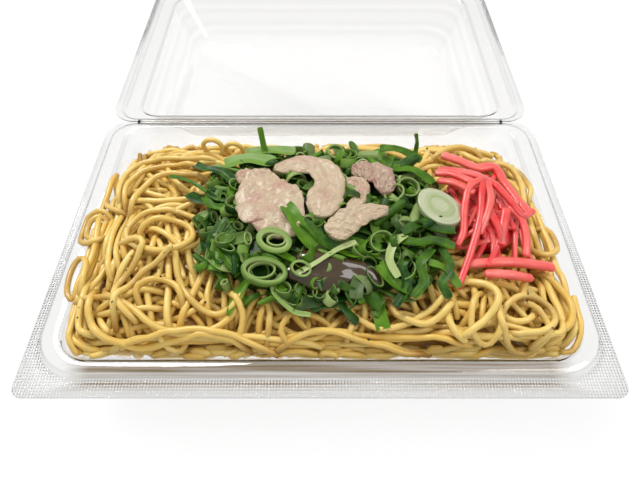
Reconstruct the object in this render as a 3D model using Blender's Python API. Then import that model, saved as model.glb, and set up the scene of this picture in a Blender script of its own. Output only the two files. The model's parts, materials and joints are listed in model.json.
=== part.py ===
"""Yakisoba in a clear hinged takeaway pack, lid folded open behind the tray.

World frame: +Z up, +X to the right, +Y from the tray's front edge back to the lid.
The origin is the middle of the tray's flat underside. Sizes below are in millimetres.
The tray and the lid are two pressed shells that meet at a fold line. The noodles, the
chopped greens and the pickled ginger are heaps, and each is one closed solid.
"""

import math

import bpy
import numpy as np

MM = 0.001

# Pack
PACK_WIDTH = 200.0
PACK_DEPTH = 133.0
RIM_HEIGHT = 28.0
SHEET = 0.6
BEAD_HEIGHT = 2.0
MOUTH_DROP = 0.8
FOLD_GAP = 0.4
NEST_GAP = 0.4
WALL_FOOT = 2.0
CORNER_STEPS = 7

# Inset from the pack's outer edge: front, side and back
EDGE_INSET = (0.0, 0.0, 0.0)
FLANGE_INSET = (6.5, 3.3, 2.5)
BEAD_OUTER_INSET = (7.3, 4.1, 3.3)
BEAD_INNER_INSET = (11.5, 10.4, 5.9)
MOUTH_INSET = (12.3, 11.2, 6.7)
WALL_RUN = 12.0
FOOT_RUN = 1.4

# Corner radius at the front and at the back of each of those outlines
EDGE_RADII = (4.0, 11.0)
FLANGE_RADII = (17.0, 10.0)
BEAD_OUTER_RADII = (16.5, 9.5)
BEAD_INNER_RADII = (12.0, 8.5)
MOUTH_RADII = (11.5, 8.0)
WALL_RADII = (15.0, 13.0)
FOOT_RADII = (14.0, 12.0)

# Food
CLEARANCE = 0.35
TOPPING_GAP = 0.6
NOODLE_CROWN = 39.0
NOODLE_EDGE = 27.5
NOODLE_BACK_EDGE = 17.0
HEAP_SIDE_POINTS = 19
HEAP_END_POINTS = 12
HEAP_REACH = (88.0, 55.0)
HEAP_RIM = 1.2

GREENS_CENTRE = (1.0, -3.5)
GREENS_SIZE = (44.0, 34.0)
GREENS_THICKNESS = 8.5

GINGER_CENTRE = (63.5, -1.5)
GINGER_SIZE = (13.5, 18.0)
GINGER_THICKNESS = 6.5
GINGER_STRIP = (3.4, 2.4)

SLICE_THICKNESS = 2.4
ONION_RADIUS = 8.6
ONION_THICKNESS = 3.0
ONION_CENTRE = (42.5, -3.5)


def clear_scene():
    for old in list(bpy.data.objects):
        bpy.data.objects.remove(old, do_unlink=True)


def finish(name, colour, roughness, alpha=1.0):
    """A Principled material of one colour."""
    material = bpy.data.materials.new(name)
    material.use_nodes = True
    shader = material.node_tree.nodes["Principled BSDF"]
    shader.inputs["Base Color"].default_value = (*colour, 1.0)
    shader.inputs["Roughness"].default_value = roughness
    shader.inputs["Metallic"].default_value = 0.0
    shader.inputs["Alpha"].default_value = alpha
    return material


def make_node(name, points, faces, material, smooth_angle=35.0):
    """One named object from points in millimetres and faces that point outwards."""
    mesh = bpy.data.meshes.new(name)
    mesh.from_pydata([tuple(float(value) * MM for value in point) for point in points], [], faces)
    mesh.materials.append(material)
    mesh.shade_smooth()
    mesh.set_sharp_from_angle(angle=math.radians(smooth_angle))
    node = bpy.data.objects.new(name, mesh)
    bpy.context.scene.collection.objects.link(node)
    return node


def stack_rings(rings):
    """Points and faces of a body whose skin runs from ring to ring, capped at both ends.

    The rings turn anticlockwise seen from above; the first cap faces down, the last one up
    where the rings climb outside a solid, so the skin between them faces outwards.
    """
    count = len(rings[0])
    points = [tuple(point) for ring in rings for point in ring]
    faces = []
    for level in range(len(rings) - 1):
        low = level * count
        high = low + count
        for index in range(count):
            after = (index + 1) % count
            faces.append((low + index, low + after, high + after, high + index))
    top = (len(rings) - 1) * count
    faces.append(tuple(range(count - 1, -1, -1)))
    faces.append(tuple(range(top, top + count)))
    return points, faces


def outline(insets, radii, height, side_points=1, end_points=1):
    """Rounded rectangle inside the pack's outer edge, anticlockwise from the front right corner.

    Each straight side is cut into side_points or end_points equal parts.
    """
    front, side, back = insets
    right = PACK_WIDTH / 2 - side
    low = -PACK_DEPTH / 2 + front
    high = PACK_DEPTH / 2 - back
    front_radius, back_radius = radii
    corners = (
        (right - front_radius, low + front_radius, front_radius, -90.0),
        (right - back_radius, high - back_radius, back_radius, 0.0),
        (-right + back_radius, high - back_radius, back_radius, 90.0),
        (-right + front_radius, low + front_radius, front_radius, 180.0),
    )
    parts = (end_points, side_points, end_points, side_points)
    ring = []
    for number, (x, y, radius, start) in enumerate(corners):
        for step in range(CORNER_STEPS + 1):
            angle = math.radians(start + 90.0 * step / CORNER_STEPS)
            ring.append((x + radius * math.cos(angle), y + radius * math.sin(angle), height))
        next_x, next_y, next_radius, next_start = corners[(number + 1) % 4]
        angle = math.radians(next_start)
        here = np.array(ring[-1])
        there_x = next_x + next_radius * math.cos(angle)
        there_y = next_y + next_radius * math.sin(angle)
        there = np.array((there_x, there_y, height))
        for step in range(1, parts[number]):
            ring.append(tuple(here + (there - here) * step / parts[number]))
    return np.array(ring)


def widened(insets, amount):
    return tuple(inset + amount for inset in insets)


def shell_profile(bead_rise, clearance):
    """Rows of (insets, radii, height) over the shell's upper face, from the edge to the floor.

    The bead stands up by bead_rise on the tray. On the lid it drops instead, and clearance
    widens it, so the closed lid's step passes over the tray's bead.
    """
    step = RIM_HEIGHT + bead_rise
    mouth = step - MOUTH_DROP if bead_rise > 0 else step
    return [
        (EDGE_INSET, EDGE_RADII, RIM_HEIGHT),
        (widened(FLANGE_INSET, -clearance), FLANGE_RADII, RIM_HEIGHT),
        (widened(BEAD_OUTER_INSET, -clearance), BEAD_OUTER_RADII, step),
        (widened(BEAD_INNER_INSET, clearance), BEAD_INNER_RADII, step),
        (widened(MOUTH_INSET, clearance), MOUTH_RADII, mouth),
        (widened(MOUTH_INSET, WALL_RUN), WALL_RADII, WALL_FOOT),
        (widened(MOUTH_INSET, WALL_RUN + FOOT_RUN), FOOT_RADII, SHEET),
    ]


def sheet_shift(rows):
    """How far each row moves, sideways and up, to reach the sheet's lower face."""
    line = np.array([(insets[1], height) for insets, radii, height in rows])
    along = np.diff(line, axis=0)
    along /= np.linalg.norm(along, axis=1)[:, None]
    down = np.stack([along[:, 1], -along[:, 0]], axis=1)
    before = np.vstack([down[:1], down])
    after = np.vstack([down, (0.0, -1.0)])
    mitre = (before + after) / (1.0 + np.sum(before * after, axis=1))[:, None]
    return mitre * SHEET


def shell(name, rows, material, mirrored=False):
    """A pressed shell of even thickness: its upper face, then its lower face, as one closed body."""
    upper = [outline(insets, radii, height) for insets, radii, height in rows]
    lower = []
    for (insets, radii, height), (sideways, up) in zip(rows, sheet_shift(rows)):
        outer = min(sideways, 0.0) if insets != EDGE_INSET else 0.0
        moved = widened(insets, sideways if insets != EDGE_INSET else 0.0)
        lower.append(outline(moved, (radii[0] - outer, radii[1] - outer), height + up))
    rings = upper[::-1] + lower
    rings = [ring - (0.0, FOLD_GAP / 2, 0.0) for ring in rings]
    points, faces = stack_rings(rings)
    faces = [face[::-1] for face in faces]
    if mirrored:
        points = [(x, PACK_DEPTH - y, z) for x, y, z in points]
        faces = [face[::-1] for face in faces]
    return make_node(name, points, faces, material)


def wall_ring(height):
    """Outline of the tray's inner wall at a height, moved in by the clearance."""
    points = (HEAP_SIDE_POINTS, HEAP_END_POINTS)
    mouth = outline(widened(MOUTH_INSET, CLEARANCE), MOUTH_RADII, 0.0, *points)
    foot = outline(widened(MOUTH_INSET, WALL_RUN + CLEARANCE), WALL_RADII, 0.0, *points)
    mouth_height = RIM_HEIGHT + BEAD_HEIGHT - MOUTH_DROP
    share = ((height - WALL_FOOT) / (mouth_height - WALL_FOOT))[:, None]
    ring = foot + (mouth - foot) * share
    ring[:, 1] -= FOLD_GAP / 2
    ring[:, 2] = height
    return ring


def bump(x, y, centre, reach, rise):
    """A round hillock that fades to nothing over about two reaches."""
    return rise * np.exp(-((x - centre[0]) ** 2 + (y - centre[1]) ** 2) / reach**2)


def crown(x, y):
    """Height of the noodles' upper surface away from the walls.

    It is gentle under the toppings and rises and falls with the loops of noodle outside them.
    """
    swell = 0.5 * np.sin(x / 15.0 - y / 11.0)
    bare = np.clip(np.hypot((x - 8.0) / 72.0, y / 38.0) - 0.85, 0.0, 0.4) / 0.4
    loops = 1.5 * np.sin(x / 3.9 + 0.8) * np.sin(y / 3.6 + 0.4) * bare
    mounds = bump(x, y, (-58.0, -14.0), 20.0, 1.6) + bump(x, y, (66.0, -34.0), 18.0, 1.8)
    hollows = bump(x, y, (-30.0, -46.0), 16.0, -2.8) + bump(x, y, (20.0, -48.0), 20.0, -2.4)
    return NOODLE_CROWN + swell + loops + mounds + hollows


def back_share(y):
    """0 at the front and the middle, 1 along the back wall."""
    return np.clip((y - 22.0) / 24.0, 0.0, 1.0)


def edge_height(y):
    """Height at which the heap meets the wall."""
    return NOODLE_EDGE + (NOODLE_BACK_EDGE - NOODLE_EDGE) * back_share(y)


def shoulder(scale, x, y):
    """Top of the heap: a steep shoulder at the front and sides, a slope towards the back wall."""
    power = 7.0 - 4.0 * back_share(y)
    rise = np.sqrt(np.clip(1.0 - np.clip(scale, 0.0, 1.0) ** power, 0.0, 1.0))
    edge = edge_height(y)
    return edge + (crown(x, y) - edge) * rise


def noodle_top(x, y):
    """Height of the noodles under a topping."""
    scale = np.maximum(np.abs(x) / HEAP_REACH[0], np.abs(y) / HEAP_REACH[1])
    return shoulder(scale, x, y)


def noodles(material):
    """The noodles fill the tray to its walls and stand above its rim in an uneven heap."""
    count = 4 * CORNER_STEPS + 2 * (HEAP_SIDE_POINTS + HEAP_END_POINTS)
    edge = edge_height(wall_ring(np.full(count, WALL_FOOT))[:, 1])
    foot = outline(widened(MOUTH_INSET, WALL_RUN + FOOT_RUN + CLEARANCE), FOOT_RADII,
                   SHEET + CLEARANCE, HEAP_SIDE_POINTS, HEAP_END_POINTS)
    foot[:, 1] -= FOLD_GAP / 2
    rings = [foot]
    for share in (0.03, 0.35, 0.7, 1.0):
        rings.append(wall_ring(WALL_FOOT + CLEARANCE + (edge - WALL_FOOT - CLEARANCE) * share))
    rim = rings[-1]
    for scale in (0.985, 0.955, 0.91, 0.85, 0.78, 0.70, 0.61, 0.51, 0.40, 0.28, 0.15, 0.05):
        ring = rim.copy()
        ring[:, :2] = rim[:, :2] * scale
        ring[:, 2] = shoulder(scale, ring[:, 0], ring[:, 1])
        rings.append(ring)
    points, faces = stack_rings(rings)
    return make_node("noodles", points, faces, material, 60.0)


def heap_outline(centre, size, count, unevenness, phase):
    """Rounded plan of a small heap, with shallow lobes, as x and y arrays."""
    angle = np.linspace(0.0, 2.0 * math.pi, count, endpoint=False)
    lobes = 1.0 + unevenness * (np.sin(3.0 * angle + phase) + 0.6 * np.sin(7.0 * angle + 2.0 * phase))
    square = (np.abs(np.cos(angle)) ** 3.0 + np.abs(np.sin(angle)) ** 3.0) ** (-1.0 / 3.0)
    reach = lobes * square
    return centre[0] + size[0] * reach * np.cos(angle), centre[1] + size[1] * reach * np.sin(angle)


def dome(scale, thickness):
    """Depth of a heap at a share of the way out to its edge."""
    return HEAP_RIM + (thickness - HEAP_RIM) * np.sqrt(np.clip(1.0 - scale**2.4, 0.0, 1.0))


def small_heap(name, centre, size, thickness, count, unevenness, phase, material):
    """A heap that lies on the noodles: the underside follows them, the top is a lumpy dome."""
    edge_x, edge_y = heap_outline(centre, size, count, unevenness, phase)
    rings = []
    for scale in (0.15, 0.45, 0.75, 1.0):
        x = centre[0] + (edge_x - centre[0]) * scale
        y = centre[1] + (edge_y - centre[1]) * scale
        rings.append(np.stack([x, y, noodle_top(x, y) + TOPPING_GAP], axis=1))
    for scale in (1.0, 0.93, 0.82, 0.68, 0.52, 0.34, 0.15):
        x = centre[0] + (edge_x - centre[0]) * scale
        y = centre[1] + (edge_y - centre[1]) * scale
        height = noodle_top(x, y) + TOPPING_GAP + dome(scale, thickness)
        rings.append(np.stack([x, y, height], axis=1))
    points, faces = stack_rings(rings)
    return make_node(name, points, faces, material, 60.0)


def greens_top(x, y):
    """Height of the chopped greens under a topping."""
    scale = np.hypot((x - GREENS_CENTRE[0]) / GREENS_SIZE[0], (y - GREENS_CENTRE[1]) / GREENS_SIZE[1])
    return noodle_top(x, y) + TOPPING_GAP + dome(np.clip(scale * 0.9, 0.0, 1.0), GREENS_THICKNESS)


def smooth_path(corners, count):
    """Points at even steps along a smooth curve through the given ones."""
    corners = np.array(corners, dtype=float)
    ahead = np.vstack([2 * corners[0] - corners[1], corners, 2 * corners[-1] - corners[-2]])
    spans = len(corners) - 1
    place = np.linspace(0.0, spans, count)
    span = np.minimum(place.astype(int), spans - 1)
    share = (place - span)[:, None]
    before, start, end, after = (ahead[span + step] for step in range(4))
    return 0.5 * (2 * start + (end - before) * share
                  + (2 * before - 5 * start + 4 * end - after) * share**2
                  + (3 * start - before - 3 * end + after) * share**3)


def meat_slice(name, spine, widths, lift, curl, material):
    """A thin slice that drapes over the greens along a bent spine.

    widths gives its width at even steps along the spine; lift raises it over a neighbour
    and curl raises its edges.
    """
    along, across = 11, 5
    middle = smooth_path(spine, along)
    heading = np.gradient(middle, axis=0)
    heading /= np.linalg.norm(heading, axis=1)[:, None]
    normal = np.stack([-heading[:, 1], heading[:, 0]], axis=1)
    width = np.interp(np.linspace(0.0, 1.0, along), np.linspace(0.0, 1.0, len(widths)), widths)
    raised = np.interp(np.linspace(0.0, 1.0, along), np.linspace(0.0, 1.0, len(lift)), lift)
    share = np.linspace(-0.5, 0.5, across)
    ruffle = 1.0 + 0.10 * np.sin(np.arange(along) * 1.9 + len(name))
    plan = middle[:, None, :] + normal[:, None, :] * (share[None, :, None] * (width * ruffle)[:, None, None])
    x, y = plan[..., 0], plan[..., 1]
    bottom = greens_top(x, y) + TOPPING_GAP + raised[:, None] + curl * (2.0 * share[None, :]) ** 2
    edge = np.maximum(np.abs(2.0 * share)[None, :], np.abs(np.linspace(-1.0, 1.0, along))[:, None])
    top = bottom + SLICE_THICKNESS * (1.0 - 0.45 * edge**4)
    lower = np.stack([x, y, bottom], axis=2).reshape(-1, 3)
    upper = np.stack([x, y, top], axis=2).reshape(-1, 3)
    points = np.vstack([lower, upper])
    faces = []
    shift = along * across
    for i in range(along - 1):
        for j in range(across - 1):
            a, b = i * across + j, (i + 1) * across + j
            faces.append((a, a + 1, b + 1, b))
            faces.append((shift + a, shift + b, shift + b + 1, shift + a + 1))
    rim = [j for j in range(across - 1)]
    rim += [i * across + across - 1 for i in range(along - 1)]
    rim += [(along - 1) * across + j for j in range(across - 1, 0, -1)]
    rim += [i * across for i in range(along - 1, 0, -1)]
    for here, after in zip(rim, rim[1:] + rim[:1]):
        faces.append((here, shift + here, shift + after, after))
    return make_node(name, points, faces, material, 50.0)


def onion_slice(material):
    """A round of onion with a rounded rim, lying on the slope at the right of the greens."""
    turn = np.linspace(0.0, 2.0 * math.pi, 28, endpoint=False)
    half = ONION_THICKNESS / 2
    centre_x, centre_y = ONION_CENTRE
    reach = ONION_RADIUS * 0.8
    sides = np.array([-reach, reach])
    fall_x = np.diff(greens_top(centre_x + sides, np.full(2, centre_y)))[0] / (2 * reach)
    fall_y = np.diff(greens_top(np.full(2, centre_x), centre_y + sides))[0] / (2 * reach)
    normal = np.array((-fall_x, -fall_y, 1.0))
    normal /= np.linalg.norm(normal)
    across = np.cross((0.0, 1.0, 0.0), normal)
    across /= np.linalg.norm(across)
    back = np.cross(normal, across)
    edge_x = centre_x + ONION_RADIUS * np.cos(turn)
    edge_y = centre_y + ONION_RADIUS * np.sin(turn)
    plane = fall_x * (edge_x - centre_x) + fall_y * (edge_y - centre_y)
    level = float(np.max(greens_top(edge_x, edge_y) - plane))
    level = max(level, float(greens_top(np.array(centre_x), np.array(centre_y))))
    centre = np.array((centre_x, centre_y, level + TOPPING_GAP)) + normal * half
    section = [(0.35, -half), (0.75, -half), (0.95, -half * 0.8), (1.0, -half * 0.3), (1.0, half * 0.3),
               (0.95, half * 0.8), (0.75, half), (0.35, half)]
    rings = []
    for share, height in section:
        spread = ONION_RADIUS * share
        rings.append(centre + np.outer(spread * np.cos(turn), across)
                     + np.outer(spread * np.sin(turn), back) + normal * height)
    points, faces = stack_rings(rings)
    return make_node("onion_slice", points, faces, material)


def ginger_strip(name, spine, lift, material):
    """A long cut strip lying over the noodles, with a rounded flat section."""
    along = 14
    middle = smooth_path(spine, along)
    heading = np.gradient(middle, axis=0)
    heading /= np.linalg.norm(heading, axis=1)[:, None]
    normal = np.stack([-heading[:, 1], heading[:, 0]], axis=1)
    raised = np.interp(np.linspace(0.0, 1.0, along), np.linspace(0.0, 1.0, len(lift)), lift)
    rings = []
    for step in range(along):
        taper = 0.8 if step in (0, along - 1) else 1.0
        corner = np.linspace(0.0, 2.0 * math.pi, 8, endpoint=False) + math.pi / 8
        sideways = GINGER_STRIP[0] / 2 * taper * np.cos(corner)
        up = GINGER_STRIP[1] / 2 * taper * np.sin(corner)
        x = middle[step, 0] + normal[step, 0] * sideways
        y = middle[step, 1] + normal[step, 1] * sideways
        under = float(np.max(noodle_top(x, y)))
        rings.append(np.stack([x, y, under + TOPPING_GAP + GINGER_STRIP[1] / 2 + raised[step] + up], axis=1))
    points, faces = stack_rings(rings)
    return make_node(name, points, faces, material)


# Spine in x and y, widths along it, lift along it, and how far the edges curl up
PORK_SLICES = {
    "pork_slice_a": (
        [(-17.0, 12.0), (-19.5, 0.5), (-16.5, -16.0)],
        (7.0, 19.0, 21.0, 11.0), (0.3, 0.3), 0.6,
    ),
    "pork_slice_b": (
        [(-12.0, 17.5), (-2.0, 16.0), (3.0, 7.0), (0.5, -7.5)],
        (7.0, 8.0, 10.5, 11.0, 8.0), (0.2, 0.2), 0.5,
    ),
    "pork_slice_c": (
        [(13.0, 14.5), (20.5, 12.0), (25.5, 4.5)],
        (8.0, 10.0, 7.5), (0.2, 0.2), 0.8,
    ),
    "pork_slice_d": (
        [(3.5, -17.0), (12.0, -12.0), (23.5, -6.5)],
        (7.0, 11.0, 9.5, 6.0), (0.4, 0.4), 0.7,
    ),
    "pork_slice_e": (
        [(12.0, 6.0), (14.5, 1.0), (13.0, -3.8)],
        (5.0, 6.5, 6.0), (0.0, 0.2), 0.2,
    ),
    "pork_bit": (
        [(-29.0, 15.5), (-30.2, 10.5)],
        (4.0, 5.5, 4.5), (0.0, 0.0), 0.2,
    ),
}

GINGER_STRIPS = {
    "ginger_strip_long": ([(52.5, -23.8), (67.0, -23.4), (82.0, -23.2)], (0.0, 0.0)),
    "ginger_strip_short": ([(57.5, -29.0), (64.5, -29.6), (72.5, -29.4)], (0.0, 0.0)),
    "ginger_strip_back": ([(52.0, 29.0), (62.5, 25.5), (73.0, 22.0), (80.0, 3.0)], (0.5, 0.5)),
}


def build():
    clear_scene()
    clear = finish("clear_plastic", (0.92, 0.93, 0.93), 0.08, 0.3)
    noodle = finish("noodle", (0.75, 0.50, 0.16), 0.35)
    green = finish("greens", (0.05, 0.20, 0.03), 0.4)
    pork = finish("pork", (0.72, 0.52, 0.44), 0.5)
    onion = finish("onion", (0.78, 0.84, 0.62), 0.3)
    ginger = finish("ginger", (0.85, 0.09, 0.12), 0.3)

    shell("tray_shell", shell_profile(BEAD_HEIGHT, 0.0), clear)
    lid = shell("lid_shell", shell_profile(-BEAD_HEIGHT - NEST_GAP, NEST_GAP), clear, mirrored=True)

    fold = bpy.data.objects.new("lid_fold", None)
    bpy.context.scene.collection.objects.link(fold)
    fold.location = (0.0, PACK_DEPTH / 2 * MM, (RIM_HEIGHT + NEST_GAP / 2) * MM)
    bpy.context.view_layer.update()
    lid.parent = fold
    lid.matrix_parent_inverse = fold.matrix_world.inverted()

    noodles(noodle)
    small_heap("greens", GREENS_CENTRE, GREENS_SIZE, GREENS_THICKNESS, 44, 0.035, 0.6, green)
    small_heap("ginger_heap", GINGER_CENTRE, GINGER_SIZE, GINGER_THICKNESS, 28, 0.03, 1.2, ginger)
    for name, (spine, widths, lift, curl) in PORK_SLICES.items():
        meat_slice(name, spine, widths, lift, curl, pork)
    onion_slice(onion)
    for name, (spine, lift) in GINGER_STRIPS.items():
        ginger_strip(name, spine, lift, ginger)


build()
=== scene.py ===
import json
from math import cos, hypot, pi, radians, sin

import bpy
import numpy as np
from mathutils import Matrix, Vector
from mathutils.bvhtree import BVHTree


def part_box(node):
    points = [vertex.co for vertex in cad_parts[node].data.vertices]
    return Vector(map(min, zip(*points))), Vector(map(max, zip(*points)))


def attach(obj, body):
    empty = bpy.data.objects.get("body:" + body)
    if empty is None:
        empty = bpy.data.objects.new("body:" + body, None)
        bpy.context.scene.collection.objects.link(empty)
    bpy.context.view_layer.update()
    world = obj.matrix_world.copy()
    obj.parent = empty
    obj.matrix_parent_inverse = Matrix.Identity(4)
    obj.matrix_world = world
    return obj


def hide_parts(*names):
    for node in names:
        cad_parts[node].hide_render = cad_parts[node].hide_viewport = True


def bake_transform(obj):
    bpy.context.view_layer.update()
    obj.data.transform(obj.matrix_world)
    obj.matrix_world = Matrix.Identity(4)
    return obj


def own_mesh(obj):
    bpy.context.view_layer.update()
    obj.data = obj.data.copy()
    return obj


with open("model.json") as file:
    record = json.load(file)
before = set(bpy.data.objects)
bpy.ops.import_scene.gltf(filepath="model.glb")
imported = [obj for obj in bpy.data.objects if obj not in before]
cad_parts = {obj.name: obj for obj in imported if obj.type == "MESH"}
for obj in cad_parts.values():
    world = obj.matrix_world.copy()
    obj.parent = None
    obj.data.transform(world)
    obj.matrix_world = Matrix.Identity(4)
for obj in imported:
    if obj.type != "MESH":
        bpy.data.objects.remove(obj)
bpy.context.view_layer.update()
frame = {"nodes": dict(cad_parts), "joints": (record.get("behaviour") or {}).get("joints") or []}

mm = 0.001      # CAD positions are in metres, everything here in millimetres
print("frame loaded:", len(frame["nodes"]), "nodes")


def nodeTop(name, spread=2.0, sky=200.0):
    # Height map of a CAD node seen from above: rays dropped on a square grid, read back bilinearly.
    node = frame["nodes"][name]
    points = np.empty(len(node.data.vertices) * 3)
    node.data.vertices.foreach_get("co", points)
    points = points.reshape(-1, 3) / mm
    tree = BVHTree.FromPolygons(points.tolist(), [tuple(face.vertices) for face in node.data.polygons])
    low = points.min(0) - spread
    counts = np.ceil((points.max(0) - low) / spread).astype(int) + 2
    heights = np.full((counts[0], counts[1]), np.nan)
    for i in range(counts[0]):
        for j in range(counts[1]):
            hit = tree.ray_cast((low[0] + i * spread, low[1] + j * spread, sky), (0.0, 0.0, -1.0))
            if hit[0] is not None:
                heights[i, j] = hit[0].z
    missing = np.isnan(heights)
    while missing.any():      # cells past the edge take the mean of the known cells beside them
        padded = np.pad(heights, 1, constant_values=np.nan)
        beside = np.stack([padded[:-2, 1:-1], padded[2:, 1:-1], padded[1:-1, :-2], padded[1:-1, 2:]])
        known = ~np.isnan(beside)
        mean = np.where(known, beside, 0.0).sum(0) / np.maximum(known.sum(0), 1)
        heights = np.where(missing & known.any(0), mean, heights)
        missing = np.isnan(heights)

    def top(x, y):
        u = np.clip((np.asarray(x) - low[0]) / spread, 0, counts[0] - 1.001)
        v = np.clip((np.asarray(y) - low[1]) / spread, 0, counts[1] - 1.001)
        i, j = u.astype(int), v.astype(int)
        a, b = u - i, v - j
        return ((heights[i, j] * (1 - a) + heights[i + 1, j] * a) * (1 - b)
                + (heights[i, j + 1] * (1 - a) + heights[i + 1, j + 1] * a) * b)
    return top


def smoothRow(row, width):
    # A row of values averaged with a raised-cosine window; the ends repeat outwards.
    window = np.hanning(2 * width + 3)[1:-1]
    window /= window.sum()
    return np.convolve(np.pad(row, width, mode="edge"), window, mode="valid")


def easyNoise(rng, rows, columns, knots):
    # Smooth random rows: random knots joined by cosine steps, values in -1 to 1.
    values = rng.uniform(-1.0, 1.0, (rows, knots + 1))
    place = np.linspace(0.0, knots, columns)
    low = np.minimum(place.astype(int), knots - 1)
    share = 0.5 - 0.5 * np.cos(pi * (place - low))
    return values[:, low] * (1 - share) + values[:, low + 1] * share


def curveThrough(corners, count):
    # Catmull-Rom curve through the corners, read at even steps.
    corners = np.array(corners, float)
    ahead = np.vstack([2 * corners[0] - corners[1], corners, 2 * corners[-1] - corners[-2]])
    spans = len(corners) - 1
    place = np.linspace(0.0, spans, count)
    span = np.minimum(place.astype(int), spans - 1)
    share = (place - span)[:, None]
    p0, p1, p2, p3 = (ahead[span + k] for k in range(4))
    return 0.5 * (2 * p1 + (p2 - p0) * share + (2 * p0 - 5 * p1 + 4 * p2 - p3) * share ** 2
                  + (3 * p1 - p0 - 3 * p2 + p3) * share ** 3)


def unit(vectors):
    # Each vector divided by its own length.
    return vectors / np.maximum(np.linalg.norm(vectors, axis=-1, keepdims=True), 1e-9)


def runAlong(path):
    # Length run from the first point to each point of a path.
    return np.concatenate([[0.0], np.cumsum(np.linalg.norm(np.diff(path, axis=0), axis=1))])


def withEnds(rows):
    # Rows with the first and the last three times over, for the three rings of a rounded end.
    return np.vstack([np.repeat(rows[:1], 3, 0), rows, np.repeat(rows[-1:], 3, 0)])


def inTurn(name):
    # A CAD node's name as a piece's name: each word with a capital, run together.
    return "".join(part.capitalize() for part in name.split("_"))


class Pile:
    # Grids of quads collected into one mesh, each point with three look values in the attribute "look".
    def __init__(self):
        self.points, self.quads, self.looks, self.size = [], [], [], 0

    def grid(self, points, look=(0.0, 0.0, 0.0), wrapU=False, wrapV=False, capEnds=False):
        # points is (nu, nv, 3) in millimetres; v then u turn anticlockwise seen from outside.
        # capEnds closes the first and last ring, an even number of points each, with fans of quads.
        nu, nv = points.shape[:2]
        u = np.arange(nu if wrapU else nu - 1)[:, None]
        v = np.arange(nv if wrapV else nv - 1)[None, :]

        def index(a, b):
            return (a % nu) * nv + (b % nv)

        quads = np.stack([index(u, v), index(u, v + 1), index(u + 1, v + 1), index(u + 1, v)], axis=-1)
        self.quads.append(quads.reshape(-1, 4) + self.size)
        if capEnds:
            k = np.arange(nv // 2 - 1)
            fan = np.stack([k, k + 1, nv - 2 - k, nv - 1 - k], axis=-1) + self.size
            self.quads += [fan[:, ::-1], fan + (nu - 1) * nv]
        self.points.append(points.reshape(-1, 3))
        self.looks.append(np.broadcast_to(np.asarray(look, float), (nu, nv, 3)).reshape(-1, 3))
        self.size += nu * nv

    def tube(self, path, radii, sides, up, look=(0.0, 0.0, 0.0), squareness=0.0):
        # A round or squarish section carried along a path, with rounded closed ends.
        # The side vector is up x heading; look is one value or one for each path point.
        heading = unit(np.gradient(path, axis=0))
        side = unit(np.cross(np.broadcast_to(up, path.shape), heading))
        over = np.cross(heading, side)
        radii = np.broadcast_to(np.asarray(radii, float), (len(path), 2)).copy()
        capSteps = np.array((0.02, 0.55, 0.88))
        capReach = radii[0].min()
        start = path[0] - heading[0] * capReach * np.sqrt(1 - capSteps ** 2)[:, None]
        finish = path[-1] + heading[-1] * capReach * np.sqrt(1 - capSteps[::-1] ** 2)[:, None]
        full = np.vstack([start, path, finish])
        side, over, radii = withEnds(side), withEnds(over), withEnds(radii)
        radii[:3] *= capSteps[:, None]
        radii[-3:] *= capSteps[::-1, None]
        angle = np.linspace(0.0, 2 * pi, sides, endpoint=False)
        power = 2 + 6 * squareness
        stretch = (np.abs(np.cos(angle)) ** power + np.abs(np.sin(angle)) ** power) ** (-1.0 / power)
        ring = (side[:, None] * (radii[:, :1] * np.cos(angle) * stretch)[..., None]
                + over[:, None] * (radii[:, 1:] * np.sin(angle) * stretch)[..., None])
        looks = np.broadcast_to(np.asarray(look, float), (len(path), 3)) if np.ndim(look) < 2 else look
        looks = withEnds(looks)[:, None, :].repeat(sides, 1)
        self.grid(full[:, None] + ring, looks, wrapV=True, capEnds=True)

    def finish(self, name, material):
        # The collected grids as one smooth-shaded mesh object, in metres.
        points = np.concatenate(self.points) * mm
        quads = np.concatenate(self.quads)
        mesh = bpy.data.meshes.new(name)
        mesh.vertices.add(len(points))
        mesh.vertices.foreach_set("co", points.ravel().astype(np.float32))
        mesh.loops.add(quads.size)
        mesh.loops.foreach_set("vertex_index", quads.ravel().astype(np.int32))
        mesh.polygons.add(len(quads))
        mesh.polygons.foreach_set("loop_start", np.arange(0, quads.size, 4, dtype=np.int32))
        mesh.polygons.foreach_set("loop_total", np.full(len(quads), 4, dtype=np.int32))
        mesh.polygons.foreach_set("use_smooth", np.full(len(quads), True))
        looks = np.concatenate(self.looks)
        attribute = mesh.attributes.new("look", "FLOAT_COLOR", "POINT")
        attribute.data.foreach_set("color", np.c_[looks, np.ones(len(looks))].ravel().astype(np.float32))
        mesh.update(calc_edges=True)
        mesh.validate()
        mesh.materials.append(material)
        piece = bpy.data.objects.new(name, mesh)
        bpy.context.scene.collection.objects.link(piece)
        print("made", name, 2 * len(quads), "triangles")
        return piece


def seat(piece, node, body="tray"):
    # A finished piece takes a CAD node's place and a body to ride on.
    if node:
        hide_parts(node)
    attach(piece, body)


def newMaterial(name):
    # A material with a Principled surface, and that surface's node.
    material = bpy.data.materials.new(name)
    material.use_nodes = True
    return material, material.node_tree.nodes["Principled BSDF"]


def setSockets(node, values):
    # Constants for a node's own sockets, by name.
    for socket, value in values.items():
        node.inputs[socket].default_value = value


def lookNodes(nodes, links):
    # The mesh's look attribute as three values: Red, Green and Blue.
    source = nodes.new("ShaderNodeAttribute")
    source.attribute_name = "look"
    split = nodes.new("ShaderNodeSeparateColor")
    links.new(source.outputs["Color"], split.inputs["Color"])
    return split.outputs


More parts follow.
